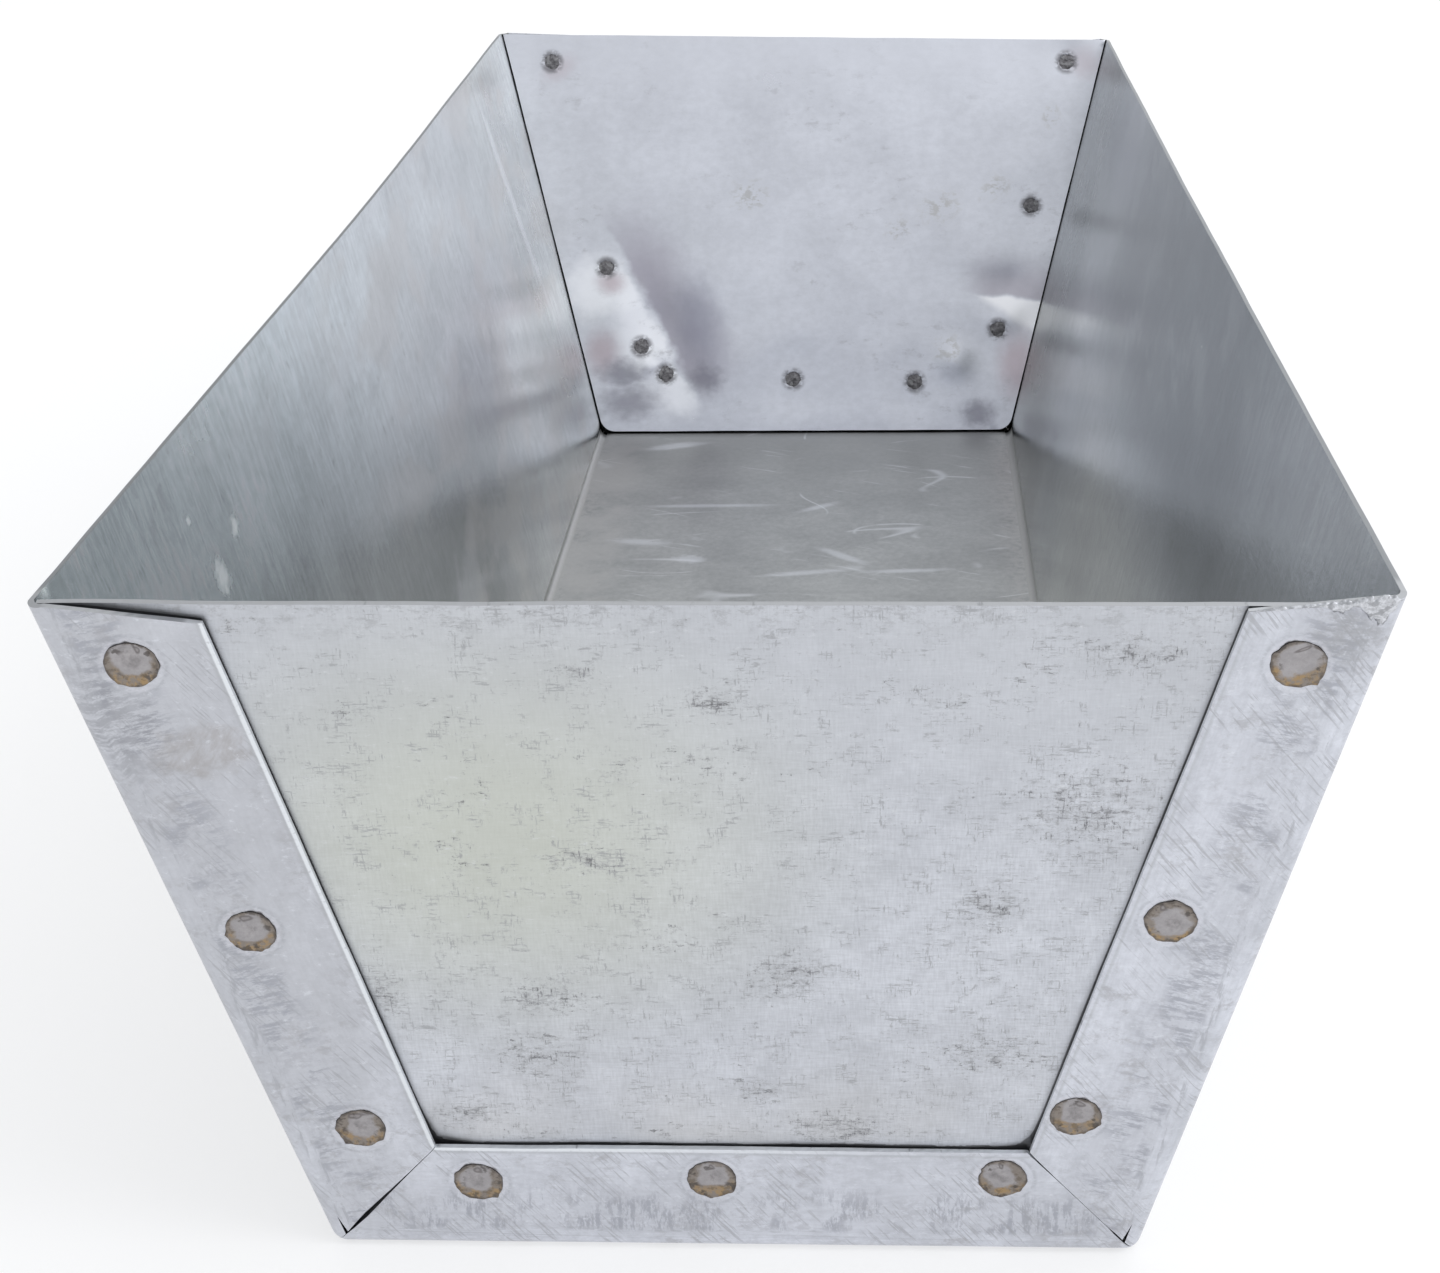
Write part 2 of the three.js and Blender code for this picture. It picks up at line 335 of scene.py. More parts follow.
def filled(outline, holes, spacing, extra=()):
    """Triangles that fill a 2-D outline around round holes [(outline of the hole, centre, rings)]."""
    outline = np.array(outline, float)
    low, high = outline.min(0), outline.max(0)
    inner = []
    for r, y in enumerate(np.arange(low[1], high[1], spacing * 0.87)):
        inner += [(x, y) for x in np.arange(low[0] + (r % 2) * spacing / 2, high[0], spacing)]
    inner = np.array(inner)
    inner = inner[inside(inner, outline) & (distance_to(inner, outline) > 0.55 * spacing)]
    points = [tuple(p) for p in outline]
    edges = [(i, (i + 1) % len(outline)) for i in range(len(outline))]
    loops = []
    for loop, centre, rings in holes:
        reach = max(rings) + 0.5 * spacing
        inner = inner[np.hypot(inner[:, 0] - centre[0], inner[:, 1] - centre[1]) > reach]
        start = len(points)
        points += [tuple(p) for p in loop]
        edges += [(start + i, start + (i + 1) % len(loop)) for i in range(len(loop))]
        loops.append(np.array(loop, float))
        for k, radius in enumerate(rings):
            steps = max(12, int(2 * math.pi * radius / spacing * 1.3))
            turns = [2 * math.pi * (i + 0.5 * (k % 2)) / steps for i in range(steps)]
            ring = [(centre[0] + radius * math.cos(a), centre[1] + radius * math.sin(a)) for a in turns]
            ring = np.array(ring)
            clear = inside(ring, outline) & (distance_to(ring, outline) > 0.35 * spacing)
            points += [tuple(p) for p in ring[clear]]
    points += [tuple(p) for p in inner]
    points += [tuple(p) for p in extra]
    flat = [Vector(p) / MM for p in points]
    made, _, faces, origins, _, _ = delaunay_2d_cdt(flat, edges, [], 0, 1e-6)
    corners = np.array([[tuple(made[i]) for i in f] for f in faces]) * MM
    middles = corners.mean(1)
    ab, ac = corners[:, 1] - corners[:, 0], corners[:, 2] - corners[:, 0]
    areas = np.abs(ab[:, 0] * ac[:, 1] - ab[:, 1] * ac[:, 0]) / 2
    keep = inside(middles, outline) & (areas > (0.01 * MM) ** 2)
    for loop in loops:
        keep &= ~inside(middles, loop)
    triangles = [tuple(f) for f, k in zip(faces, keep) if k]
    places = [points[origin[0]] if origin else tuple(p * MM) for p, origin in zip(made, origins)]
    return places, triangles


# ---- Spot welds: where they are and their outlines ----

WELD_RADIUS = 4.0 * MM
NUGGET_RADIUS = 2.4 * MM
ROUND = 72


class Weld:
    def __init__(self, node):
        low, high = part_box(node)
        middle = (low + high) / 2
        self.node = node
        self.end = -1 if middle.y < 0 else 1
        self.x = middle.x
        depth = PANEL_DEPTH / 2 + SHEET / 2
        self.up = (middle.z - SIN * depth) / COS
        self.seed = (sum(ord(c) * (i + 3) for i, c in enumerate(node)) % 97) * 1.37
        rng = random.Random(int(self.seed * 100))
        spans = ((0, 6.28), (0.025, 0.075), (0.07, 0.13))  # turn, height and width
        self.nubs = [[rng.uniform(*span) for span in spans] for _ in range(5)]

    def outline(self, radius, seed, rough):
        """A nearly round closed outline about the weld, counterclockwise in the end's x and up."""
        points = []
        for i in range(ROUND):
            a = 2 * math.pi * i / ROUND
            at = Vector((1.4 * math.cos(a), 1.4 * math.sin(a), self.seed + seed))
            r = radius * (1 + rough * noise.noise(at) + 0.5 * rough * noise.noise(at * 3.1))
            for b, size, width in self.nubs:
                r += radius * size * math.exp(-((math.remainder(a - b, 2 * math.pi) / width) ** 2))
            points.append((self.x + r * math.cos(a), self.up + r * math.sin(a)))
        return points

    def mark(self, grow=0.0):
        return self.outline(WELD_RADIUS + grow, 0.0, 0.075)

    def nugget(self, grow=0.0):
        return self.outline(NUGGET_RADIUS + grow, 11.0, 0.16)


WELDS = [Weld(n) for n in sorted(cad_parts) if n.startswith("spot_weld")]


def nearest_weld(end, x, up):
    return min(math.hypot(x - weld.x, up - weld.up) for weld in WELDS if weld.end == end)


def sink_near_welds(end, x, up, radius, sink):
    """How deep the sheet is pressed in around the electrodes' marks, with a slight ring outside."""
    total = 0.0
    for weld in WELDS:
        if weld.end != end:
            continue
        r = math.hypot(x - weld.x, up - weld.up) - radius
        if r < 6 * MM:
            total += sink * (1 - smooth(r / (0.9 * MM)))
            total -= 0.05 * MM * math.exp(-((r - 1.3 * MM) / (0.7 * MM)) ** 2)
    return total


# ---- The body sheet ----

WALL_STEPS, FOLD_STEPS, FLOOR_STEPS, LENGTH_STEPS = 30, 6, 32, 120


def turned(a, b, t):
    """The unit direction that lies a share t of the way round from a to b."""
    return (a.slerp(b, t)).normalized()


def fold_x(z):
    return FLOOR_WIDTH / 2 + SLOPE * z - BEND / COS


def fold_y(z):
    return FLOOR_LENGTH / 2 + SLOPE * z - BEND / COS


class Line:
    """One line along the body from the front fold to the rear, part of a side, a fold or the floor."""

    def __init__(self, part, side, share):
        self.part, self.side, self.share = part, side, share
        if part == "side":
            self.normal = SIDE_NORMAL[side]
        elif part == "fold":
            self.normal = turned(SIDE_NORMAL[side], DOWN, share)
        else:
            self.normal = DOWN

    def centre(self, end):
        """The middle of the end fold that this line runs into."""
        if self.part == "side":
            top = rim_height(self.side * RIM_WIDTH / 2, end * RIM_LENGTH / 2) + BEND * SIN
            z = mix(BEND, top, self.share)
            return Vector((self.side * fold_x(z), end * fold_y(z), z))
        x = self.side * fold_x(BEND) * (self.share if self.part == "floor" else 1)
        return Vector((x, end * fold_y(BEND), BEND))

    def point(self, along):
        """A place on the outer skin, from 0 at the front fold to 1 at the rear fold."""
        c = self.centre(-1).lerp(self.centre(1), along)
        p = c + self.normal * BEND
        if self.part == "side":
            p += self.normal * side_offset(self.side, p.y, p.z)
        elif self.part == "floor":
            p.z += floor_offset(p.x, p.y)
        return p

    def slit_shift(self, end, half):
        """How far the end fold's middle moves aside to open the mitre's slit."""
        gap = FLANGES[end, self.side]["gap"][-1][1] * MM / COS
        if half == "side":
            up_fold = Vector((self.side * SLOPE, end * SLOPE, 1)).normalized()
            return up_fold * gap * (1 - self.share if self.part == "side" else 1)
        return Vector((-self.side * gap * (self.share if self.part == "floor" else 1), 0, 0))

    def end_fold(self, end, half, bent):
        """A place on the end fold's outer skin and its normal, bent by a share from 0 to 1."""
        centre = self.centre(end) + self.slit_shift(end, half) * smooth(bent)
        normal = turned(self.normal, END_NORMAL[end], bent)
        return centre + normal * BEND, normal


def body_lines():
    left = [Line("side", -1, 1 - i / WALL_STEPS) for i in range(WALL_STEPS)]
    left += [Line("fold", -1, i / FOLD_STEPS) for i in range(FOLD_STEPS)]
    half = FLOOR_STEPS // 2
    floor = [Line("floor", -1, 1 - i / half) for i in range(half)]
    floor += [Line("floor", 1, i / half) for i in range(half + 1)]
    right = [Line("fold", 1, 1 - i / FOLD_STEPS) for i in range(1, FOLD_STEPS + 1)]
    right += [Line("side", 1, i / WALL_STEPS) for i in range(1, WALL_STEPS + 1)]
    return left + floor + right


def channel(surface, lines):
    rows = []
    for line in lines:
        row = []
        for i in range(LENGTH_STEPS + 1):
            p = line.point(i / LENGTH_STEPS)
            reach = FLOOR_LENGTH / 2 + SLOPE * p.z - abs(p.y)
            row.append(surface.add(p, line.normal, (-reach / MM, p.z / MM, 99, 99)))
        rows.append(row)
    for (low, high), (a, b) in zip(zip(rows, rows[1:]), zip(lines, lines[1:])):
        parts = {a.part, b.part}
        surface.grid([low, high], "floor" if parts == {"floor"} else "side")


def end_folds(surface, lines, end):
    """The rounded folds at one end, split down the middle of each bottom corner."""
    steps = [i / FOLD_STEPS for i in range(FOLD_STEPS + 1)]
    left = [k for k in lines if k.side < 0 and (k.part == "side" or k.part == "fold" and k.share <= 0.5)]
    floor = [k for k in lines if k.part == "floor" or k.part == "fold" and k.share >= 0.5]
    right = [k for k in lines if k.side > 0 and (k.part == "side" or k.part == "fold" and k.share <= 0.5)]
    strips = [("side", left), ("floor", floor), ("side", right)]
    for half, part in strips:
        rows = []
        for line in part:
            row = []
            for bent in steps:
                p, normal = line.end_fold(end, half, bent)
                mark = ((bent - 1) * BEND * 1.33 / MM, (p.z if half == "side" else p.x) / MM, 99, 99)
                row.append(surface.add(p, normal, mark))
            rows.append(row)
        surface.grid(rows, "fold")


def frayed(a, b, step, amount, seed):
    """Points from a to b, without b, pushed off the straight line by up to about an amount."""
    a, b = Vector(a), Vector(b)
    count = max(2, round((b - a).length / step))
    across = Vector((-(b - a).y, (b - a).x)).normalized()
    points = []
    for i in range(count):
        t = i / count
        p = a.lerp(b, t)
        fade = smooth(t * 8) * smooth((1 - t) * 8)
        shift = wave(p.x + p.y, seed, 17 * MM, seed) + 0.4 * wave(p.x - p.y, seed, 6 * MM, seed + 1)
        points.append(tuple(p + across * shift * amount * fade))
    return points


def mitre_edge(end, side, half):
    """A flange's edge along its mitre, from its cut edge to just before its fold."""
    shape = FLANGES[end, side]
    up = FLANGE_LOW[end]
    inner = Vector((side * (half_width(up) - shape["low"]), up))
    outer = Vector((side * fold_x(BEND), BEND * (1 - SIN) / COS))
    along = (outer - inner).normalized()
    aside = Vector((side * abs(along.y), abs(along.x))) * (1 if half == "side" else -1)
    places, gaps = zip(*shape["gap"])
    count = round((outer - inner).length / (0.8 * MM))
    points = []
    for i in range(count):
        t = i / count
        rough = 0.02 * wave(t, side, 0.06, 2.0 * end + (5 if half == "side" else 0))
        gap = float(np.interp(t, places, gaps)) + rough
        points.append(tuple(inner.lerp(outer, t) + aside * gap * MM))
    return points


ROLL_WIDTH = 0.7 * MM
ROLL_STEPS = (0.2 * MM, 0.42 * MM, 0.68 * MM)


def from_segment(point, ends):
    """How far a place lies from the straight line between two others."""
    a, b = Vector(ends[0]), Vector(ends[1])
    t = min(max((Vector(point) - a).dot(b - a) / (b - a).length_squared, 0), 1)
    return (Vector(point) - a.lerp(b, t)).length


def flange(surface, end, fold_points, edge, cut, rolled):
    """A flat flange from its fold to its edges, of which the long cut one is rolled over a little."""
    holes = []
    outline = fold_points + edge
    closed = np.array(outline)
    for weld in WELDS:
        if weld.end == end and inside(np.array([(weld.x, weld.up)]), closed)[0]:
            rings = [WELD_RADIUS + k * MM for k in (0.3, 0.65, 1.1, 1.7, 2.5)]
            holes.append((weld.mark(0.04 * MM), (weld.x, weld.up), rings))
    inward = Vector((cut[1] - cut[0]).yx)
    inward.x *= -1
    middle = (cut[0] + cut[1]) / 2
    centre = sum((Vector(p) for p in fold_points), Vector((0, 0))) / len(fold_points)
    inward = inward.normalized() * math.copysign(1, inward.dot(centre - middle))
    steps = round((cut[1] - cut[0]).length / (0.9 * MM))
    extra = []
    for reach in ROLL_STEPS:
        shift = 0.5 * (reach == ROLL_STEPS[1])
        for i in range(2, steps - 1):
            extra.append(cut[0].lerp(cut[1], (i + shift) / steps) + inward * reach)
    places, triangles = filled(outline, holes, 1.7 * MM, extra)
    a, b = Vector(fold_points[0]), Vector(fold_points[-1])
    along = (b - a).normalized()
    index = []
    for x, up in places:
        from_fold = Vector((x, up)) - a
        away = abs(along.x * from_fold.y - along.y * from_fold.x)
        depth = sink_near_welds(end, x, up, WELD_RADIUS, 0.1 * MM) * smooth(away / (1 * MM))
        near = nearest_weld(end, x, up) - WELD_RADIUS
        from_cut = from_segment((x, up), cut)
        roll = rolled * max(1 - from_cut / ROLL_WIDTH, 0) ** 2.2
        mark = (away / MM, along.dot(from_fold) / MM, near / MM, from_cut / MM)
        place = end_point(end, x, up, depth + roll)
        index.append(surface.add(place, END_NORMAL[end] * (1 - roll / SHEET), mark))
    for t in triangles:
        surface.face([index[i] for i in t], "flange")


def flange_corner(end, side):
    """The top inner corner of a side flange."""
    shape = FLANGES[end, side]
    x = side * (RIM_WIDTH / 2 - shape["top"])
    up = rim_height(x, end * RIM_LENGTH / 2) / COS - shape["trim"]
    return Vector((side * (half_width(up) - shape["top"]), up))


def side_flange(surface, lines, end, side):
    walls = sorted((k for k in lines if k.side == side and k.part == "side"), key=lambda k: k.share)
    folds = [k.end_fold(end, "side", 1)[0] for k in walls]
    fold_points = [(p.x, p.z / COS) for p in folds]
    corner = flange_corner(end, side)
    mitre = mitre_edge(end, side, "side")
    seed = 2.3 * end + 5.9 * side
    edge = frayed(fold_points[-1], corner, 1.0 * MM, 0.10 * MM, seed)[1:]
    edge += frayed(corner, mitre[0], 0.9 * MM, 0.10 * MM, seed + 20)
    rolled = 0.32 * MM if side == end else 0.08 * MM
    flange(surface, end, fold_points, edge + mitre, (corner, Vector(mitre[0])), rolled)


def bottom_flange(surface, lines, end):
    floors = [k for k in lines if k.part == "floor"]
    folds = [k.end_fold(end, "floor", 1)[0] for k in floors]
    fold_points = [(p.x, p.z / COS) for p in folds]
    left, right = mitre_edge(end, -1, "floor"), mitre_edge(end, 1, "floor")
    seed = 3.3 * end + 60
    edge = right[:0:-1] + frayed(right[0], left[0], 0.9 * MM, 0.10 * MM, seed + 20) + left
    flange(surface, end, fold_points, edge, (Vector(right[0]), Vector(left[0])), 0.16 * MM)


def body_surface():
    surface = Surface()
    lines = body_lines()
    channel(surface, lines)
    for end in ENDS:
        end_folds(surface, lines, end)
        for side in SIDES:
            side_flange(surface, lines, end, side)
        bottom_flange(surface, lines, end)
    surface.merge()
    surface.orient()
    return surface


# ---- The end panels ----

# How far a panel stands back from its flanges between the welds, at the open top corner behind the left
# flange, and at the open corners of the window between the flanges.
PANEL_EASE = 0.28 * MM
TOP_CORNER_EASE = 0.9 * MM
LOW_CORNER_EASE = 0.8 * MM


def panel_ease(end, x, up):
    near = nearest_weld(end, x, up)
    free = smooth((near - 5 * MM) / (12 * MM))
    ease = max(PANEL_EASE * (0.55 + 0.6 * wave(x, up, 21 * MM, 8.8 * end)) * free, 0)
    left = -1 if end < 0 else 1
    top = Vector((left * x - 88 * MM, up - 134 * MM)).length
    ease += TOP_CORNER_EASE * math.exp(-((top / (13 * MM)) ** 2)) * smooth(near / (9 * MM))
    low = Vector((abs(x) - 49 * MM, up - FLANGE_LOW[end])).length
    return ease + LOW_CORNER_EASE * math.exp(-((low / (5 * MM)) ** 2)) * smooth((near - 3 * MM) / (5 * MM))


def under_flange(end, x, up):
    """How far a place on a panel lies inside the window between the flanges; less than 0 under them."""
    side = 1 if x > 0 else -1
    shape = FLANGES[end, side]
    corner = flange_corner(end, side)
    low = Vector((side * (half_width(FLANGE_LOW[end]) - shape["low"]), FLANGE_LOW[end]))
    run = (corner - low).normalized()
    from_side = (low.x - x) * side * run.y + (up - low.y) * side * run.x
    rim = side * RIM_WIDTH / 2
    top_fold = Vector((rim, rim_height(rim, end * RIM_LENGTH / 2) / COS))
    rise = (corner.y - top_fold.y) / (corner.x - top_fold.x)
    above_top = up - corner.y - rise * (x - corner.x)
    return min(max(from_side, above_top), up - FLANGE_LOW[end])


def panel_outline(end):
    depth = PANEL_DEPTH
    inset = SHEET / COS + PANEL_GAP
    low = (SHEET + PANEL_GAP) / COS - depth * SLOPE

    def half(up):
        return half_width(up) - inset + depth * SIN * SLOPE

    def top(side):
        x = side * (half_width(HEIGHT / COS) - inset)
        below = PANEL_DROP if side > end else 0
        return (rim_height(x, end * RIM_LENGTH / 2) - below - (depth + SHEET) * SIN) / COS

    turn = math.pi / 2 - math.atan(SIN)
    back = PANEL_CORNER * math.tan(turn / 2)
    arc_x, arc_up = half(low) - back, low + PANEL_CORNER
    steps = 8

    def arc(side, backwards):
        points = []
        for i in range(steps + 1):
            a = turn * (steps - i if backwards else i) / steps
            out = arc_x + PANEL_CORNER * math.sin(a)
            points.append((side * out, arc_up - PANEL_CORNER * math.cos(a)))
        return points

    left_arc, right_arc = arc(-1, True), arc(1, False)
    right_top, left_top = (half(top(1)), top(1)), (-half(top(-1)), top(-1))
    seed = 90 + 7 * end
    points = left_arc[:-1]
    points += frayed(left_arc[-1], right_arc[0], 1.5 * MM, 0.10 * MM, seed)
    points += right_arc[1:-1]
    points += frayed(right_arc[-1], right_top, 1.5 * MM, 0.1 * MM, seed + 10)
    points += frayed(right_top, left_top, 1.2 * MM, 0.12 * MM, seed + 20)
    points += frayed(left_top, left_arc[0], 1.5 * MM, 0.1 * MM, seed + 30)
    return points


def panel_surface(end):
    surface = Surface()
    holes = []
    for weld in WELDS:
        if weld.end == end:
            rings = [NUGGET_RADIUS + k * MM for k in (0.3, 0.7, 1.3, 2.1)]
            holes.append((weld.nugget(0.04 * MM), (weld.x, weld.up), rings))
    places, triangles = filled(panel_outline(end), holes, 2.3 * MM)
    index = []
    for x, up in places:
        p = end_point(end, x, up, PANEL_DEPTH + panel_ease(end, x, up))
        near = nearest_weld(end, x, up) - NUGGET_RADIUS
        mark = (under_flange(end, x, up) / MM, x / MM, near / MM, 99)
        index.append(surface.add(p, END_NORMAL[end], mark))
    for t in triangles:
        surface.face([index[i] for i in t], "panel")
    surface.orient()
    return surface


# ---- The spot welds ----


def weld_mesh(weld, materials):
    """A dished mark in the flange and a rough stub on the inside, joined through both sheets."""
    mark, nugget = weld.mark(), weld.nugget()
    back = PANEL_DEPTH + SHEET
    rng = random.Random(int(weld.seed * 1000))
    spans = ((0, 2 * math.pi), (0.82, 1.0), (0.10, 0.2))  # turn, share of the radius and size
    drops = [[rng.uniform(*span) for span in spans] for _ in range(5)]

    def outer_depth(share, angle):
        dish = 0.17 * (1 - share ** 3) + 0.02
        at = Vector((share * math.cos(angle) * 2.2, share * math.sin(angle) * 2.2, weld.seed))
        dish += 0.035 * noise.noise(at) + 0.02 * noise.noise(at * 3.7)
        for a, r, size in drops:
            across = share * math.cos(angle) - r * math.cos(a)
            rise = share * math.sin(angle) - r * math.sin(a)
            dish -= 0.2 * math.exp(-((math.hypot(across, rise) / size) ** 2))
        return dish * MM

    def inner_depth(share, angle):
        at = Vector((share * math.cos(angle) * 2.6, share * math.sin(angle) * 2.6, weld.seed + 50))
        return (0.05 + 0.1 * (1 - share ** 2) + 0.07 * noise.noise(at)) * MM

    rows, slots = [], []

    def row(outline, share, depth, slot):
        points = []
        for i, (x, up) in enumerate(outline):
            angle = 2 * math.pi * i / ROUND
            px, pup = mix(weld.x, x, share), mix(weld.up, up, share)
            d = depth(share, angle) if callable(depth) else depth
            points.append(end_point(weld.end, px, pup, d))
        rows.append(points)
        slots.append(slot)

    for share in (0.12, 0.28, 0.42, 0.55, 0.66, 0.75, 0.83, 0.9, 0.95, 0.985, 1.0):
        row(mark, share, outer_depth, 0)
    row(mark, 1.0, 0.55 * MM, 0)
    row(mark, 1.0, SHEET, 0)
    row(nugget, 1.0, SHEET + 0.02 * MM, 1)
    for depth in (PANEL_DEPTH, back - 0.1 * MM):
        row(nugget, 1.0, depth, 1)
    for share in (1.0, 0.96, 0.88, 0.76, 0.6, 0.42, 0.2):
        row(nugget, share, lambda s, a: back + inner_depth(s, a), 1)
    bm = bmesh.new()
    layers = [bm.verts.layers.float.new(name) for name in ("share", "rise", "aside")]
    centre = end_point(weld.end, weld.x, weld.up, 0)
    loops = [[bm.verts.new(p) for p in points] for points in rows]
    for vert in bm.verts:
        away = vert.co - centre
        vert[layers[0]] = min(away.length / WELD_RADIUS, 1.2)
        vert[layers[1]] = away.z / WELD_RADIUS
        vert[layers[2]] = away.x / WELD_RADIUS
    for a, b, slot in zip(loops, loops[1:], slots[1:]):
        for i in range(ROUND):
            j = (i + 1) % ROUND
            bm.faces.new([a[i], a[j], b[j], b[i]]).material_index = slot
    for loop, slot, depth in ((loops[0], 0, outer_depth(0, 0)), (loops[-1], 1, back + inner_depth(0, 0))):
        tip = bm.verts.new(end_point(weld.end, weld.x, weld.up, depth))
        for i in range(ROUND):
            bm.faces.new([loop[i], loop[(i + 1) % ROUND], tip]).material_index = slot
    bmesh.ops.recalc_face_normals(bm, faces=bm.faces)
    return made_piece(bm, f"{weld.node}_mark", materials, 60)


# ---- The torn lip ----


def lip_mesh(name, end, side, material):
    """A ragged lip that the shear has thrown up along the top of a side flange, with a curled lump."""
    steps, ring = 90, 14
    inner = flange_corner(end, side)
    x = side * (RIM_WIDTH / 2 - 1.0 * MM)
    outer = Vector((x, rim_height(x, end * RIM_LENGTH / 2) / COS))
    bm = bmesh.new()
    loops = []
    for i in range(steps + 1):
        t = i / steps
        lump = math.exp(-(((t - 0.85) / 0.10) ** 2)) + 0.35 * math.exp(-(((t - 0.60) / 0.07) ** 2))
        ends = smooth(t * 9) * smooth((1 - t) * 12 + 0.1)
        rough = 1 + 0.7 * wave(t, 1.0, 0.035, 3.0) + 0.4 * wave(t, 2.0, 0.012, 5.0)
        tall = 0.03 + (0.16 + 0.26 * t + 1.75 * lump) * rough * ends
        deep = 0.03 + (0.20 + 0.16 * t + 0.34 * lump) * ends
        middle = inner.lerp(outer, t)
        loop = []
        for k in range(ring):
            a = 2 * math.pi * k / ring
            bump = 1 + 0.35 * wave(t * 40 + math.cos(a), math.sin(a), 0.9, 7.0)
            up = middle.y + (0.05 - 1.6 * lump + tall * math.sin(a) * bump) * MM
            place = end_point(end, middle.x, up, (0.12 - 0.1 * lump + deep * math.cos(a) * bump) * MM)
            place.z = min(place.z, HEIGHT - 0.03 * MM)
            place.y = max(min(place.y, CAD_HIGH.y - 0.03 * MM), CAD_LOW.y + 0.03 * MM)
            loop.append(bm.verts.new(place))
        loops.append(loop)
    for a, b in zip(loops, loops[1:]):
        for k in range(ring):
            bm.faces.new([a[k], a[(k + 1) % ring], b[(k + 1) % ring], b[k]])
    bm.faces.new(loops[0])
    bm.faces.new(loops[-1][::-1])
    bmesh.ops.recalc_face_normals(bm, faces=bm.faces)
    return made_piece(bm, name, [material])


# ---- Materials ----


class Recipe:
    """A material of bare zinc: each call adds nodes, and tint and shade change its colour so far.

    A value is a number, a node's output, or the name of an axis or of a mark in millimetres.
    """

    def __init__(self, name, plane, color, metallic=1.0):
        self.material = bpy.data.materials.new(name)
        self.material.use_nodes = True
        self.tree = self.material.node_tree
        self.shader = self.tree.nodes["Principled BSDF"]
        self.shader.inputs["Metallic"].default_value = metallic
        self.plane_axes, self.color = plane, color
        split = self.node("ShaderNodeSeparateXYZ", self.node("ShaderNodeTexCoord").outputs["Object"])
        self.axes = {a: self.math("MULTIPLY", out, 1 / MM) for a, out in zip("xyz", split.outputs)}
        for mark in ("fold", "along", "near", "cut", "share", "rise", "aside"):
            self.axes[mark] = self.node("ShaderNodeAttribute", attribute_name=mark).outputs["Fac"]

    def put(self, value, socket):
        """Links an output to an input, or sets the input."""
        value = self.axes[value] if isinstance(value, str) else value
        if isinstance(value, bpy.types.NodeSocket):
            self.tree.links.new(value, socket)
        else:
            socket.default_value = (*value, 1) if socket.type == "RGBA" else value

    def node(self, kind, *values, **settings):
        """A node with its settings, and its first inputs set or linked."""
        node = self.tree.nodes.new(kind)
        for name, value in settings.items():
            setattr(node, name, value)
        for value, socket in zip(values, node.inputs):
            self.put(value, socket)
        return node

    def math(self, kind, *values, clamp=False):
        return self.node("ShaderNodeMath", *values, operation=kind, use_clamp=clamp).outputs[0]

    def sum(self, base, value, factor):
        """The base plus a factor times the value."""
        return self.math("MULTIPLY_ADD", value, factor, base)

    def times(self, *values):
        return reduce(lambda a, b: self.math("MULTIPLY", a, b), values)

    def most(self, *values):
        return reduce(lambda a, b: self.math("MAXIMUM", a, b), values)

    def range(self, value, low, high, to_low=0.0, to_high=1.0):
        """Goes smoothly from to_low at low to to_high at high, and stays there beyond."""
        values = (value, low, high, to_low, to_high)
        return self.node("ShaderNodeMapRange", *values, interpolation_type="SMOOTHSTEP").outputs[0]

    def plane(self, size, turn=0.0, at=(0.0, 0.0), seed=0.0, axes=None):
        """Two axes in millimetres, moved to a place, turned, and divided by a size."""
        join = self.node("ShaderNodeCombineXYZ", *(axes or self.plane_axes))
        values = (join.outputs[0], (*at, -seed), (0, 0, math.radians(turn)), (*size, 1))
        return self.node("ShaderNodeMapping", *values, vector_type="TEXTURE").outputs[0]

    def noise(self, size, seed, detail=2.0, rough=0.5, turn=0.0, axes=None):
        """Noise about 0.5, with features of a size in millimetres along the two axes."""
        size = size if isinstance(size, tuple) else (size, size)
        node = self.node("ShaderNodeTexNoise", self.plane(size, turn, seed=seed, axes=axes))
        for name, value in (("Scale", 1.0), ("Detail", detail), ("Roughness", rough)):
            node.inputs[name].default_value = value
        return node.outputs[0]

    def spots(self, *spots):
        """1 inside any of some ellipses and 0 outside them, each given by spot's values."""
        return self.most(*(self.spot(*spot) for spot in spots))

    def spot(self, x, y, wide, tall, turn=0.0, soft=0.9, ragged=0.0, seed=0.0):
        """An ellipse of two radii about a place, soft by a share of its radius, with a ragged edge."""
        place = self.plane((wide, tall), turn, (x, y))
        reach = self.node("ShaderNodeVectorMath", place, operation="LENGTH").outputs["Value"]
        if ragged:
            edge = self.noise((wide / 2, tall / 2), seed + 3.3, 4.0)
            reach = self.sum(reach, self.math("SUBTRACT", edge, 0.5), ragged)
        return self.range(reach, 1 + soft, max(1 - soft, 0.0))

    def turned(self, at, turn, seed, wobble):
        """Distances in millimetres along and to the left of a line through a place, a little wavy."""
        split = self.node("ShaderNodeSeparateXYZ", self.plane((1, 1), turn, at))
        ripple = self.math("SUBTRACT", self.noise(9.0, seed, 3.0), 0.5)
        return split.outputs[0], self.sum(split.outputs[1], ripple, wobble)

    def line(self, size, width, seed, turn=0.0):
        """Thin curved lines: 1 where noise crosses its middle."""
        field = self.noise(size, seed, 1.0, turn=turn)
        return self.range(self.math("ABSOLUTE", self.math("SUBTRACT", field, 0.5)), width, 0.0)

    def tint(self, amount, color, strength=1.0):
        """Goes from the colour so far to another by an amount."""
        node = self.node("ShaderNodeMix", data_type="RGBA")
        self.put(self.math("MULTIPLY", amount, strength, clamp=True), node.inputs["Factor"])
        self.put(self.color, node.inputs["A"])
        self.put(color, node.inputs["B"])
        self.color = node.outputs["Result"]

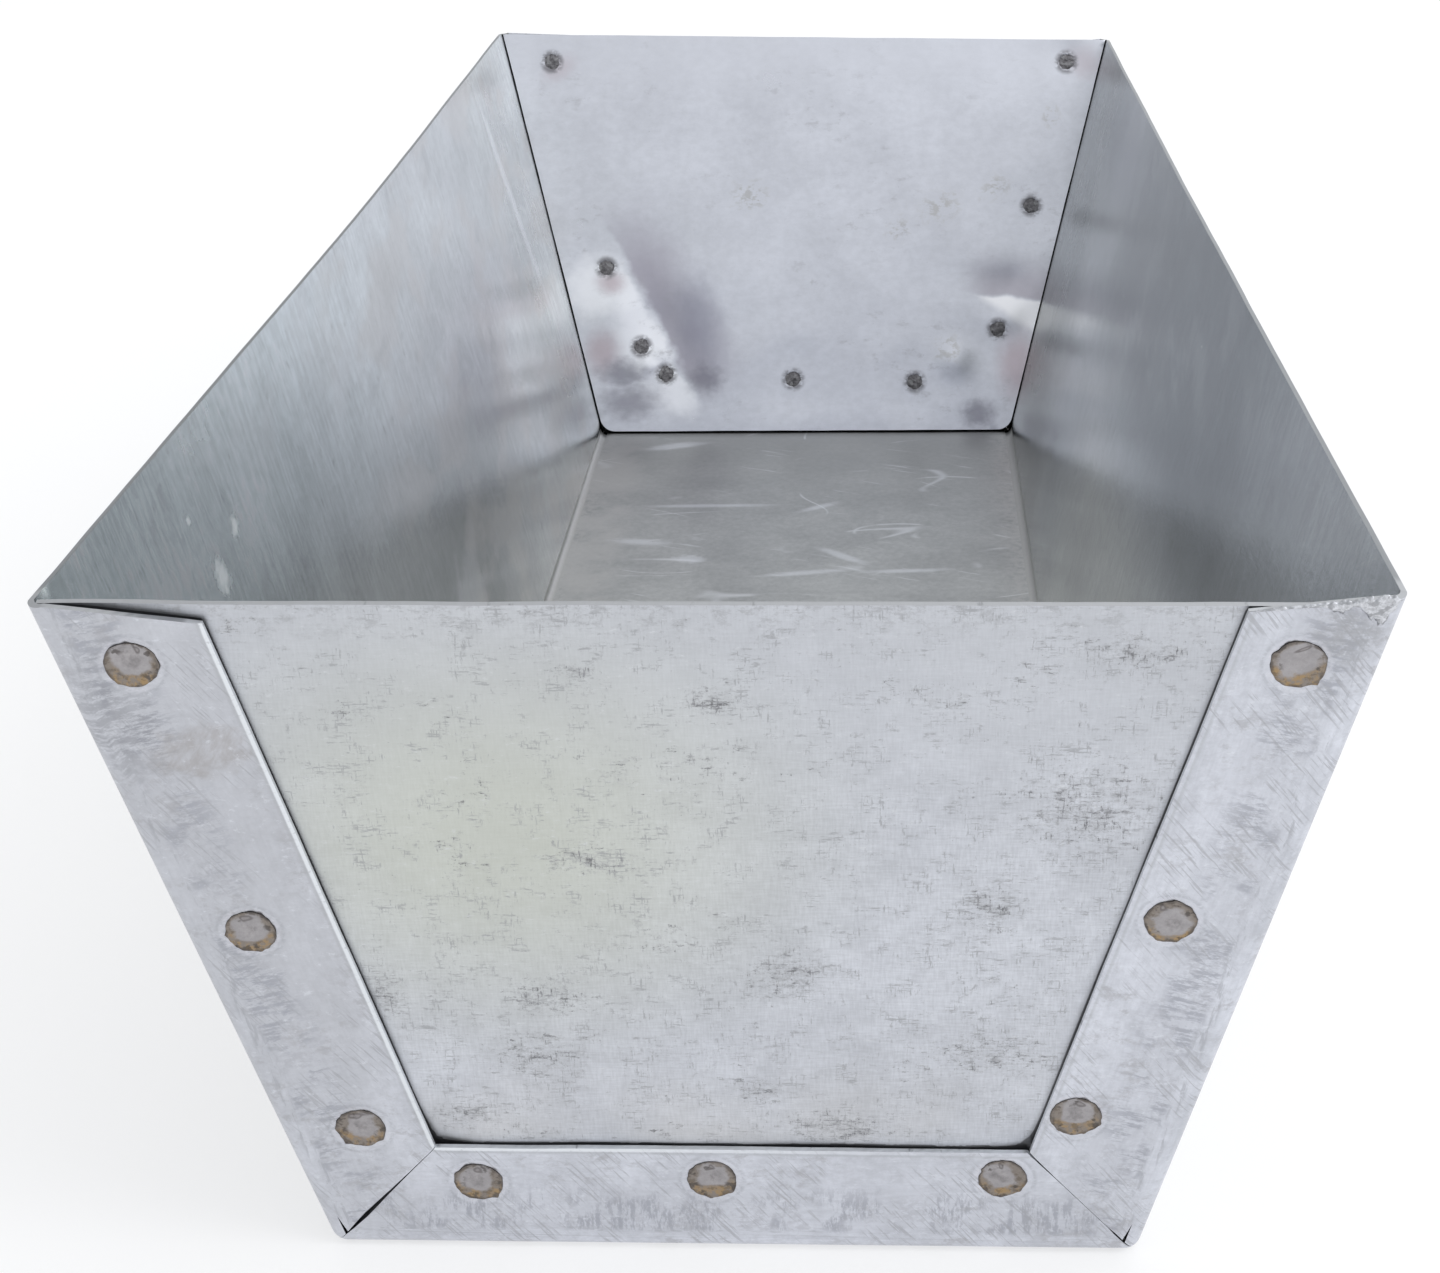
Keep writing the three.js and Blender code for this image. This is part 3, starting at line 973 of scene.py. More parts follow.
    def shade(self, value, low=0.9, high=1.1, start=0.3, stop=0.7):
        """Multiplies the colour so far by a factor between low and high."""
        node = self.node("ShaderNodeVectorMath", self.color, operation="SCALE")
        self.put(self.range(value, start, stop, low, high), node.inputs["Scale"])
        self.color = node.outputs[0]

    def finish(self, rough, height=None, depth=0.1):
        """The material, with a bump whose height is in units of a depth in millimetres."""
        self.put(self.color, self.shader.inputs["Base Color"])
        self.put(rough, self.shader.inputs["Roughness"])
        if height is not None:
            bump = self.node("ShaderNodeBump")
            bump.inputs["Distance"].default_value = depth * MM
            self.put(height, bump.inputs["Height"])
            self.put(bump.outputs[0], self.shader.inputs["Normal"])
        return self.material


def panel_zinc():
    """Outer face of a panel: fine crossed hairlines, clusters of dark specks, a faint yellow cast, and
    painted shade along the flanges' edges.
    """
    r = Recipe("panel_zinc", "xz", (0.585, 0.602, 0.645))
    across = r.noise((3.6, 0.38), 1, 3, 0.6)
    down = r.noise((0.36, 3), 2, 3, 0.6)
    cloud = r.noise(24, 3, 3)
    mottle = r.noise((8, 6), 3.5, 5, 0.65)
    r.shade(cloud, 0.96, 1.04)
    r.shade(mottle, 0.955, 1.045, 0.36, 0.64)
    r.shade(across, 0.95, 1.045, 0.34, 0.66)
    r.shade(down, 0.955, 1.04, 0.34, 0.66)
    high = r.range("z", 84, 112)
    r.tint(high, (0.52, 0.535, 0.565), 0.5)
    yellow = r.times(r.spots((-34, 84, 36, 27)), r.range("y", 10, -10))
    r.tint(yellow, (0.575, 0.595, 0.5), 0.62)
    warm = r.times(r.range("z", 46, 18), r.range(r.noise(30, 9), 0.35, 0.6))
    r.tint(warm, (0.6, 0.58, 0.545), 0.3)
    patches = r.range(r.noise(15, 4, 2), 0.54, 0.68, 0, 0.6)
    named = r.spots(
        (-19, 114, 3, 2), (0, 109, 4, 3), (-20, 80, 7, 2.5), (-54, 53, 3, 5), (10, 58, 6, 5),
        (42, 71, 5, 5), (56, 90, 10, 9, 0, 1), (18, 26, 9, 4), (-28, 53, 7, 4), (-31, 41, 7, 5),
        (43, 42, 10, 4, 0, 1), (63, 118, 9, 3), (-42, 28, 5, 3), (5, 34, 4, 3),
    )
    dashes = r.most(
        r.range(r.noise((2.6, 0.34), 9.5, 3, 0.7), 0.46, 0.39),
        r.range(r.noise((0.34, 2.4), 9.7, 3, 0.7), 0.44, 0.37),
    )
    specks = r.noise((3, 2), 5, 7, 0.8)
    raised = r.sum(specks, r.most(patches, named), 0.16)
    crisp = r.range(raised, 0.61, 0.69)
    core = r.range(r.sum(specks, named, 0.15), 0.71, 0.76)
    r.tint(crisp, (0.42, 0.425, 0.44), 0.32)
    r.tint(r.times(crisp, dashes), (0.14, 0.14, 0.145), 0.72)
    blot = r.sum(r.noise((1.7, 1), 5.2, 6, 0.85), named, 0.12)
    r.tint(r.range(blot, 0.62, 0.7), (0.34, 0.345, 0.36), 0.5)
    r.tint(core, (0.16, 0.16, 0.17), 0.7)
    loose = r.times(dashes, r.range(r.noise(4, 5.5, 4, 0.7), 0.49, 0.61))
    r.tint(loose, (0.33, 0.335, 0.35), 0.65)
    lone = r.range(r.noise((1.3, 0.7), 6, 4, 0.75), 0.68, 0.75)
    r.tint(lone, (0.17, 0.175, 0.185), 0.7)
    top = r.times(r.range("z", 117, 126), r.range(specks, 0.5, 0.6))
    r.tint(top, (0.36, 0.365, 0.38), 0.5)
    pale = r.range(r.noise((2.4, 1), 7, 5, 0.75), 0.57, 0.72)
    r.tint(pale, (0.72, 0.735, 0.76), 0.5)
    # Painted shade: a near-black band on the panel along the flanges' edges, for the shade in the gap
    # under them.
    gap_noise = r.noise(7, 8, 3, axes=("along", "z"))
    bottom = r.range("z", 26, 23.5)
    right = r.range("x", -10, 10, 0.06, 0.22)
    reach = r.sum(right, r.range(gap_noise, 0.47, 0.53, -0.05, 0.36), bottom)
    painted_gap_shade = r.range("fold", reach, r.math("MULTIPLY", reach, 0.5))
    r.tint(painted_gap_shade, (0.03, 0.03, 0.033), 0.95)
    shadow = r.range("fold", 1.1, 0.1)
    r.tint(shadow, (0.33, 0.335, 0.35), 0.45)
    rough = r.sum(0.38, across, 0.14)
    return r.finish(rough, r.math("ADD", across, down), 0.02)


def inner_panel_zinc():
    """Inner face of a panel: mottled bluish zinc, heat tints round the dents, faint smudges, painted
    highlights by the dents and a painted lighter top.
    """
    r = Recipe("inner_panel_zinc", "xz", (0.66, 0.675, 0.737))
    cloud = r.noise(20, 11, 4, 0.6)
    fine = r.noise((3.4, 2.4), 12, 5, 0.65)
    r.shade(cloud, 0.94, 1.06)
    r.shade(fine, 0.96, 1.04)
    rear = r.range("y", -10, 10)
    ridge_along, ridge_out = r.turned((-49, 36), -62, 13, 8)
    window = r.times(r.range(ridge_along, -27, -17), r.range(ridge_along, 31, 20))
    faded = r.times(r.range(ridge_along, -46, -14), r.range(ridge_along, 34, 16))
    purple = r.times(r.range(ridge_out, -0.4, 2.2), r.range(ridge_out, 24, 5), faded)
    deep = r.spots((-35, 36, 7, 12, 12, 0.8, 0.8, 1))
    # Painted highlights: pale lobes beside the dents at the left.
    highlight_lobes = r.spots(
        (-69, 47, 9, 9, 0, 0.6, 0.9, 20), (-54, 27, 8, 13, 25, 0.6, 0.9, 21),
        (-42, 13, 7, 5, -35, 0.7, 0.9, 22),
    )
    # Painted highlight: a pale strip along the ridge of the dents at the left, joined with the pale lobes.
    bright = r.times(r.range(ridge_out, 0.6, -1.8), r.range(ridge_out, -17, -6), window)
    bright = r.times(r.most(bright, highlight_lobes), r.range(ridge_out, 1.2, -1.2))
    r.tint(r.times(purple, rear), (0.36, 0.335, 0.4), 0.72)
    r.tint(r.times(deep, rear), (0.27, 0.27, 0.345), 0.55)
    r.tint(r.times(bright, rear), (0.93, 0.94, 0.99), 0.75)
    _, band_out = r.turned((66, 43.5), -5, 15, 3)
    zone = r.range("x", 50, 62)
    band = r.times(r.range(band_out, -0.5, 1), r.range(band_out, 16, 2), zone)
    # Painted highlight: a pale wedge beside the dents at the right.
    slant = r.sum(29, "x", -0.55)
    highlight_wedge = r.times(r.range(band_out, 0.4, -0.8), r.range(band_out, slant, r.math("ADD", slant, 4)))
    highlight_wedge = r.times(highlight_wedge, r.range("x", 52, 60))
    r.tint(r.times(band, rear), (0.38, 0.35, 0.405), 0.62)
    r.tint(r.times(highlight_wedge, rear), (0.95, 0.95, 0.98), 0.85)
    pink = r.spots(
        (70, 22, 6, 9, 0, 0.7, 0.5, 2), (-67, 27, 5, 6, 0, 0.8, 0.5, 3),
        (-64, 49, 4, 3, 0, 0.8, 0.5, 4), (-80, 117, 5, 3, 30, 0.8, 0.6, 5),
        (91, 117, 5, 4, -30, 0.8, 0.6, 6),
    )
    r.tint(r.times(pink, rear), (0.5, 0.41, 0.45), 0.7)
    blotch = r.spots(
        (-60, 20, 7, 4, 0, 0.8, 1.2, 7), (-58, 11, 8, 5, 0, 0.8, 1.2, 8),
        (57, 6.5, 5, 4, 0, 0.7, 1.2, 9), (-33, 18, 5, 4, 0, 0.8, 1.2, 10),
    )
    r.tint(r.times(blotch, rear), (0.22, 0.215, 0.26), 0.72)
    marks = r.spots(
        (80, 100, 2.5, 3.5, 0, 0.6, 1.2, 11), (-18, 76, 6, 4, 0, 0.7, 1.6, 12),
        (44, 72, 6, 4, 20, 0.7, 1.6, 13), (31, 65, 4, 3, 30, 0.7, 1.6, 14),
        (62, 78, 5, 3, 20, 0.7, 1.6, 15), (47, 27, 4, 4, 0, 0.7, 1.6, 16),
    )
    stain = r.times(marks, r.range(fine, 0.46, 0.6))
    r.tint(r.times(stain, rear), (0.4, 0.39, 0.37), 0.55)
    smudges = r.times(
        r.range(r.noise((7, 4), 14, 5, 0.7), 0.54, 0.7),
        r.range(r.noise(40, 15, 1), 0.42, 0.62),
    )
    r.tint(smudges, (0.42, 0.42, 0.45), 0.5)
    lit = r.times(r.range("z", 100, 122), rear)
    r.tint(lit, (0.72, 0.735, 0.8), 0.5)
    halo = r.times(r.range("near", 2.3, 0.3), r.range(fine, 0.36, 0.56))
    r.tint(halo, (0.17, 0.165, 0.18), 0.8)
    specks = r.range(r.noise((1.2, 1), 16, 3, 0.7), 0.69, 0.76)
    r.tint(specks, (0.24, 0.24, 0.26), 0.5)
    rough = r.sum(0.24, cloud, 0.12)
    return r.finish(rough, fine, 0.01)


def flange_zinc():
    """Flanges and end folds: smoother bluish zinc with grey tool smudges near the folds, and a painted
    highlight on the rolled cut edges.
    """
    r = Recipe("flange_zinc", "xz", (0.605, 0.622, 0.675))
    fa = ("fold", "along")
    cloud = r.noise(16, 21, 3)
    mottle = r.noise((5, 7), 21.5, 5, 0.7)
    fine = r.noise((0.7, 5), 22, 3, 0.6, axes=fa)
    weave = r.noise((1.6, 0.9), 20, 4, 0.7)
    r.shade(cloud, 0.94, 1.05)
    r.shade(mottle, 0.94, 1.06, 0.36, 0.64)
    r.shade(fine, 0.965, 1.035)
    r.shade(weave, 0.95, 1.05)
    left = r.times(r.range("x", -44, -62), r.range("y", 10, -10))
    left = r.times(left, r.range("z", 10, 60, 0.45, 1))
    r.tint(left, (0.45, 0.455, 0.475), 0.45)
    band = r.times(r.range("fold", 1, 2.6), r.range("fold", 14, 7))
    teeth = r.noise((6, 1.5), 23, 6, 0.8, axes=fa)
    patchy = r.range(r.noise(9, 24, 4, axes=fa), 0.44, 0.54)
    serrated = r.times(band, r.range(teeth, 0.46, 0.56), patchy)
    r.tint(serrated, (0.34, 0.35, 0.395), 0.7)
    wiped = r.times(band, r.range(mottle, 0.46, 0.6), r.range(weave, 0.36, 0.56))
    r.tint(wiped, (0.38, 0.385, 0.415), 0.5)
    border = r.times(r.range("fold", -0.6, 0.6), r.range("fold", 3.2, 1.2))
    bits = r.range(r.noise((2, 9), 30, 4, 0.7, axes=fa), 0.5, 0.6)
    r.tint(r.times(border, bits), (0.36, 0.37, 0.4), 0.55)
    scratch = r.times(
        r.range(r.noise((0.5, 9), 25, 3, 0.65, turn=38), 0.54, 0.62),
        r.range(r.noise(15, 26, 2), 0.46, 0.56),
    )
    r.tint(scratch, (0.38, 0.385, 0.41), 0.6)
    smudge = r.times(
        r.range(r.noise((4.5, 3), 27, 6, 0.75), 0.5, 0.64),
        r.range(r.noise(17, 28, 2), 0.46, 0.58),
    )
    r.tint(smudge, (0.4, 0.4, 0.42), 0.55)
    front = r.range("y", 10, -10)
    taupe = r.times(
        r.spots((-77, 101, 7.5, 4.2, 12, 0.3, 1.3, 17)),
        r.range(r.noise((1.4, 4), 18, 4, 0.7, turn=-30), 0.34, 0.62, 0.35, 1),
    )
    r.tint(r.times(taupe, front), (0.37, 0.35, 0.345), 0.6)
    soot = r.times(r.spots((-89, 106, 6, 9, 25, 0.5, 1.5, 19)), r.range(teeth, 0.42, 0.56))
    r.tint(r.times(soot, front), (0.3, 0.305, 0.33), 0.6)
    burr_smear = r.times(r.spots((92, 121, 5, 4, 0, 0.5, 1.4, 23)), r.range(weave, 0.36, 0.54))
    r.tint(r.times(burr_smear, front), (0.36, 0.365, 0.385), 0.65)
    pale = r.range(r.noise((2.5, 1.5), 29, 5, 0.75), 0.56, 0.7)
    r.tint(pale, (0.74, 0.76, 0.81), 0.5)
    halo = r.times(r.range("near", 1.15, 0.5), r.range(weave, 0.4, 0.6))
    r.tint(halo, (0.66, 0.66, 0.71), 0.5)
    ring = r.times(r.range("near", 2, 1.3), r.range("near", 0.9, 1.2))
    ring = r.times(ring, r.range(weave, 0.44, 0.56))
    r.tint(ring, (0.36, 0.37, 0.4), 0.4)
    beside_roll = r.times(r.range("cut", 1.3, 0.8), r.range("cut", 0.45, 0.75))
    r.tint(beside_roll, (0.42, 0.435, 0.45), 0.4)
    # Painted highlight: the rolled strip along the cut edges made paler, most on the left flange, on top
    # of the roll's own reflection.
    rolled = r.times(r.range("cut", 0.66, 0.4), r.range(weave, 0.22, 0.46))
    r.tint(rolled, (0.78, 0.81, 0.84), r.range("x", -30, 50, 0.9, 0))
    rough = r.sum(0.33, cloud, 0.12)
    return r.finish(rough, r.math("ADD", fine, weave), 0.025)


def side_zinc():
    """Inside of the sides: soft streaks down the sheet, milky patches and fine scratches, over zones of
    painted light and shade, with painted shade along the end panels and in the bottom corners.
    """
    r = Recipe("side_zinc", "yz", (0.43, 0.455, 0.46))
    streak = r.noise((30, 40), 31, 4, 0.6, turn=7)
    wide = r.noise((90, 46), 32, 4, 0.55, turn=8)
    fine = r.noise((2, 14), 33, 5, 0.7, turn=4)
    grain = r.noise((6, 2.4), 29, 5, 0.7)
    # Painted light and shade, after how the walls catch light and reflect their surroundings: the right
    # wall dark high along the middle, pale low towards the front and dark low towards the rear; the left
    # wall paler overall.
    left = r.range("x", 20, -20)
    high = r.range("z", 60, 86)
    middle = r.times(high, r.range("y", -230, -90), r.range("y", 200, 60))
    low = r.times(r.range("z", 72, 44), r.range("y", 130, 20))
    r.tint(middle, (0.13, 0.15, 0.155))
    r.tint(low, (0.69, 0.7, 0.66))
    deep = r.times(r.range("z", 70, 25), r.range("y", 90, 170))
    r.tint(deep, (0.29, 0.3, 0.29))
    r.tint(left, (0.66, 0.685, 0.67))
    # Painted light high at the front of the left wall, and painted shade low behind it.
    near = r.times(left, r.range("y", 40, -170), r.range("z", 62, 100))
    r.tint(near, (0.93, 1, 1), 0.9)
    under = r.times(left, r.range("y", 130, 0), r.range("z", 78, 42))
    r.tint(under, (0.25, 0.265, 0.25), 0.95)
    r.shade(wide, 0.9, 1.1)
    r.shade(streak, 0.95, 1.05, 0.35, 0.65)
    r.shade(fine, 0.93, 1.07, 0.42, 0.58)
    r.shade(grain, 0.955, 1.045, 0.4, 0.6)
    milky = r.times(
        r.range(r.noise((40, 24), 34, 4, 0.55, turn=10), 0.48, 0.62),
        r.range(r.noise((120, 50), 35, 1), 0.42, 0.58),
    )
    r.tint(milky, (0.8, 0.8, 0.795), r.range("x", 20, -20, 0.12, 0.35))
    beyond = r.times(left, r.range("y", -110, -30))
    beige = r.times(r.range(r.noise((44, 20), 38, 5), 0.48, 0.6), beyond)
    r.tint(beige, (0.66, 0.62, 0.57), 0.4)
    murky = r.range(r.noise((40, 18), 30, 5, 0.65, turn=10), 0.55, 0.7)
    r.tint(r.times(murky, r.range("y", -140, -40)), (0.4, 0.41, 0.42), 0.35)
    stripe = r.spots((205, 86, 3.2, 34, 17, 0.5, 0.5, 43))
    r.tint(r.times(stripe, left), (0.95, 0.96, 0.96), 0.55)
    bluish = r.times(r.spots((150, 112, 45, 11, 0, 0.9, 0.4, 44)), r.range("x", 0, 20))
    r.tint(bluish, (0.22, 0.23, 0.27), 0.5)
    dark = r.range(r.noise((3.4, 5), 36, 5, 0.75, turn=2), 0.6, 0.68)
    r.tint(dark, (0.26, 0.265, 0.27), 0.45)
    nick = r.range(r.noise((3.6, 2.2), 37, 3, 0.7), 0.71, 0.74)
    r.tint(nick, (0.95, 0.95, 0.95), 0.6)
    chips = r.spots(
        (-175, 105, 2, 1.5, 20, 0.5, 2, 40), (-191, 100.5, 3.2, 2.7, -30, 0.5, 2.2, 41),
        (-199, 113.5, 0.9, 0.7, 0, 0.5, 1.4, 42),
    )
    r.tint(r.times(chips, left), (0.93, 0.95, 0.96), 0.8)
    worn = r.times(r.range("z", 12, 1), r.range(r.noise((5, 2), 39, 4), 0.4, 0.6))
    r.tint(worn, (0.55, 0.545, 0.53), 0.4)
    # Painted shade in the gap where the sides meet the end panels.
    r.tint(r.range("fold", -7, -3.2), (0.3, 0.31, 0.3), 0.55)
    r.tint(r.range("fold", -3.7, -2.9), (0.12, 0.125, 0.12), 0.8)
    bend = r.times(r.range("z", 3.4, 2.4), r.range("fold", -3, -6))
    r.tint(bend, (0.47, 0.465, 0.45), 0.85)
    # Painted shade in the bottom corners at the ends.
    corner = r.times(r.range("z", 6, 3.5), r.range("fold", -10, -5))
    r.tint(corner, (0.1, 0.1, 0.095), 0.85)
    rough = r.sum(0.15, streak, 0.05)
    rough = r.sum(rough, near, 0.09)
    rough = r.sum(rough, r.times(chips, left), 0.2)
    mirror = r.times(r.range("y", 130, 200), r.range("z", 8, 26))
    rough = r.sum(rough, mirror, 0.1)
    rough = r.sum(rough, bend, 0.35)
    return r.finish(rough, r.math("ADD", fine, grain), 0.035)


def floor_zinc():
    """Inside of the floor: warm grey, worn, with pale curved scratches and painted shade along the end
    panels.
    """
    r = Recipe("floor_zinc", "xy", (0.43, 0.435, 0.425))
    cloud = r.noise(26, 41, 5, 0.6)
    fine = r.noise((2, 2.6), 42, 5, 0.7)
    r.shade(cloud, 0.88, 1.12)
    r.shade(fine, 0.92, 1.08)
    beyond = r.range("y", 150, 245)
    r.tint(beyond, (0.36, 0.36, 0.345), 0.6)
    scratch = r.most(
        r.line((70, 60), 0.006, 43),
        r.line((50, 120), 0.007, 44, 74),
        r.line((54, 120), 0.007, 45, -66),
    )
    worn = r.range(r.noise(26, 46, 2), 0.52, 0.62)
    r.tint(r.times(scratch, worn), (0.8, 0.81, 0.82), 0.55)
    strokes = r.spots(
        (-27, 165, 17, 1.5, 1, 0.6, 0.7, 3), (-42, 229, 9, 3, 22, 0.6, 0.9, 4),
        (-46, 130, 8, 2.6, -10, 0.6, 1, 1), (14, 116, 9, 1.8, -48, 0.6, 0.9, 2),
        (6, 163, 6, 1.6, 40, 0.7, 0.9, 6), (-30, 114, 4, 3, -20, 0.6, 1.4, 5),
        (3, 101, 11, 1.8, 12, 0.6, 1, 7), (32, 103, 10, 1.5, 6, 0.6, 1, 8),
    )
    r.tint(strokes, (0.8, 0.81, 0.83), 0.5)
    smear = r.times(
        r.range(r.noise((2.6, 20), 47, 3, turn=62), 0.6, 0.69),
        r.range(r.noise(30, 48, 1), 0.52, 0.62),
    )
    r.tint(smear, (0.74, 0.75, 0.76), 0.45)
    edge = r.times(r.range(r.math("ABSOLUTE", "x"), 58, 65), r.range(fine, 0.35, 0.6))
    edge = r.most(edge, r.times(r.range("x", -46, -56), r.range(cloud, 0.36, 0.56)))
    r.tint(edge, (0.53, 0.52, 0.5), 0.6)
    dark = r.range(r.noise(1.8, 49, 4, 0.7), 0.66, 0.74)
    r.tint(dark, (0.16, 0.16, 0.155), 0.5)
    # Painted shade in the gap where the floor meets the end panels.
    r.tint(r.range("fold", -9, -3.4), (0.2, 0.2, 0.19), 0.6)
    r.tint(r.range("fold", -3.9, -2.9), (0.09, 0.09, 0.085), 0.8)
    rough = r.sum(0.38, cloud, 0.12)
    return r.finish(rough, fine, 0.01)


def outside_zinc():
    """Outside of the sides and the floor: even bright zinc with long rolling streaks."""
    r = Recipe("outside_zinc", "yz", (0.6, 0.615, 0.645))
    streak = r.noise((60, 2.2), 51, 4, 0.6)
    cloud = r.noise(26, 52, 4)
    fine = r.noise((4, 0.6), 53, 3, 0.6, axes="yx")
    r.shade(cloud, 0.93, 1.06)
    r.shade(streak, 0.95, 1.05)
    r.shade(fine, 0.96, 1.04)
    specks = r.times(
        r.range(r.noise((1.8, 1.1), 54, 6, 0.8), 0.5, 0.64),
        r.range(r.noise(17, 55, 2), 0.54, 0.66),
    )
    r.tint(specks, (0.28, 0.285, 0.295), 0.55)
    rough = r.sum(0.36, cloud, 0.14)
    return r.finish(rough, fine, 0.02)


def edge_zinc():
    """Sheared edges: dull grey, with a painted highlight that makes them near white along the flanges, and
    duller along the rims.
    """
    r = Recipe("edge_zinc", "xz", (0.27, 0.28, 0.295))
    grain = r.noise(1.4, 61, 4, 0.7)
    r.shade(grain, 0.8, 1.2)
    dull = r.range(r.noise(6, 62, 3, axes="yz"), 0.5, 0.62)
    r.tint(dull, (0.24, 0.25, 0.265), 0.5)
    # Painted highlight: the flanges' cut edges made near white.
    rolled = r.times(r.range("fold", 1, 8), r.range("cut", 3, 2))
    r.tint(rolled, (0.9, 0.92, 0.95), 0.85)
    top = r.times(r.range("z", 122, 124), r.range(r.math("ABSOLUTE", "y"), 270, 274))
    r.tint(top, (0.56, 0.565, 0.58), 0.7)
    nick = r.range(r.noise(2.4, 63, 4, 0.7), 0.62, 0.72)
    r.tint(nick, (0.25, 0.255, 0.265), 0.6)
    rough = r.sum(0.26, grain, 0.2)
    rough = r.sum(rough, rolled, 0.2)
    return r.finish(rough, grain, 0.03)


def lip_zinc():
    """The torn lip: bright ragged zinc with grey patches of painted shade for its hollows."""
    r = Recipe("lip_zinc", "xz", (0.58, 0.59, 0.62))
    grain = r.noise(0.8, 65, 4, 0.75)
    r.shade(grain, 0.7, 1.25)
    # Painted shade: grey patches for the lip's hollows.
    hollow_shade = r.range(r.noise((1.8, 0.9), 66, 4, turn=20), 0.5, 0.58)
    r.tint(hollow_shade, (0.26, 0.265, 0.28), 0.65)
    rough = r.sum(0.28, grain, 0.2)
    return r.finish(rough, grain, 0.06)


def weld_zinc():
    """A weld's mark outside: a grey pressed middle, brown crescents and dark spots at its rim."""
    r = Recipe("weld_zinc", "xz", (0.335, 0.32, 0.325))
    cloud = r.noise(2.2, 71, 5, 0.65)
    wide = r.noise((7, 5), 75, 2)
    grain = r.noise(0.7, 73, 4, 0.75)
    share = "share"
    drift = r.math("SUBTRACT", wide, 0.5)
    shifted = r.sum(share, "rise", -0.26)
    wobble = r.sum(shifted, r.math("SUBTRACT", cloud, 0.5), 0.6)
    wobble = r.sum(wobble, drift, 1.5)
    r.shade(cloud, 0.78, 1.2)
    r.shade(grain, 0.88, 1.12)
    r.tint(r.range(wobble, 0.1, 0.45), (0.41, 0.395, 0.405), 0.5)
    ring = r.range(wobble, 0.56, 0.8)
    r.tint(ring, (0.225, 0.19, 0.155), 0.75)
    lower = r.range(r.sum("rise", drift, 1.6), 0.15, -0.45)
    gold = r.times(ring, lower, r.range(r.noise(2, 72, 4, 0.7), 0.4, 0.6))
    r.tint(gold, (0.4, 0.27, 0.125), 0.75)
    brown = r.times(ring, r.range(r.noise((1.6, 1.3), 77, 4, 0.7), 0.5, 0.6))
    r.tint(brown, (0.14, 0.115, 0.09), 0.55)
    rim = r.times(r.range(share, 0.84, 0.97), r.range(r.noise(1.5, 76, 4), 0.44, 0.58))
    r.tint(rim, (0.11, 0.095, 0.085), 0.85)
    thin = r.times(r.range(share, 0.93, 0.985), r.range(grain, 0.25, 0.55))
    r.tint(thin, (0.15, 0.135, 0.125), 0.6)
    above = r.math("SUBTRACT", "rise", 0.66)
    beside = r.sum("aside", drift, 2.4)
    away = r.math("ADD", r.math("POWER", above, 2), r.math("MULTIPLY", beside, beside))
    bead = r.range(away, 0.045, 0.015)
    r.tint(bead, (0.16, 0.145, 0.145), 0.75)
    shine = r.range(away, 0.01, 0.002)
    r.tint(shine, (0.36, 0.34, 0.34), 0.6)
    dots = r.times(r.range(share, 0.5, 0.72), r.range(r.noise(1.9, 74, 3), 0.56, 0.64))
    r.tint(dots, (0.09, 0.08, 0.075), 0.75)
    rough = r.sum(0.34, cloud, 0.2)
    return r.finish(rough, grain, 0.09)


def nugget_zinc():
    """A weld seen from inside: a rough dark grey stub with paler arcs."""
    r = Recipe("nugget_zinc", "xz", (0.17, 0.165, 0.175))
    cloud = r.noise(1.5, 81, 4, 0.7)
    r.shade(cloud, 0.5, 1.7)
    arc = r.range(r.noise(1.8, 82, 2), 0.54, 0.62)
    r.tint(arc, (0.4, 0.4, 0.41), 0.5)
    rough = r.sum(0.4, cloud, 0.2)
    return r.finish(rough, cloud, 0.15)


def stage_floor():
    r = Recipe("stage_paper", "xy", (0.42, 0.42, 0.425), metallic=0)
    grain = r.noise(4, 91, 3)
    r.shade(grain, 0.997, 1)
    r.shader.inputs["Emission Color"].default_value = (1, 1, 1, 1)
    r.shader.inputs["Emission Strength"].default_value = 0.58
    return r.finish(0.85)


# ---- Pieces ----

OUTSIDE, SIDE, FLOOR, FLANGES_ZINC = outside_zinc(), side_zinc(), floor_zinc(), flange_zinc()
EDGE, PANEL, INNER_PANEL = edge_zinc(), panel_zinc(), inner_panel_zinc()
WELD, NUGGET = weld_zinc(), nugget_zinc()

body = thick_mesh(
    "trough_body",
    body_surface(),
    SHEET,
    {"side": OUTSIDE, "floor": OUTSIDE, "fold": FLANGES_ZINC, "flange": FLANGES_ZINC},
    EDGE,
    {"side": SIDE, "floor": FLOOR, "fold": SIDE, "flange": FLANGES_ZINC},
    0.42 * MM,
)
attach(body, "root")
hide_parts("body_sheet")

for end in ENDS:
    name = END_NAMES[end]
    outer, inner = {"panel": PANEL}, {"panel": INNER_PANEL}
    panel = thick_mesh(f"{name}_panel", panel_surface(end), SHEET, outer, EDGE, inner, 0.2 * MM)
    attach(panel, "root")
    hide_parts(f"{name}_end_panel")

lip = lip_mesh("front_right_torn_lip", -1, 1, lip_zinc())
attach(lip, "root")

for weld in WELDS:
    piece = weld_mesh(weld, (WELD, NUGGET))
    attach(piece, "root")
    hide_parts(weld.node)

# ---- Floor, lights and camera ----


def floor_plane():
    mesh = bpy.data.meshes.new("stage_floor")
    reach = 6.0
    corners = [(-reach, -reach), (reach, -reach), (reach, reach), (-reach, reach)]
    mesh.from_pydata([(x, y, -0.3 * MM) for x, y in corners], [], [(0, 1, 2, 3)])
    mesh.materials.append(stage_floor())
    plane = bpy.data.objects.new("stage_floor", mesh)
    bpy.context.scene.collection.objects.link(plane)


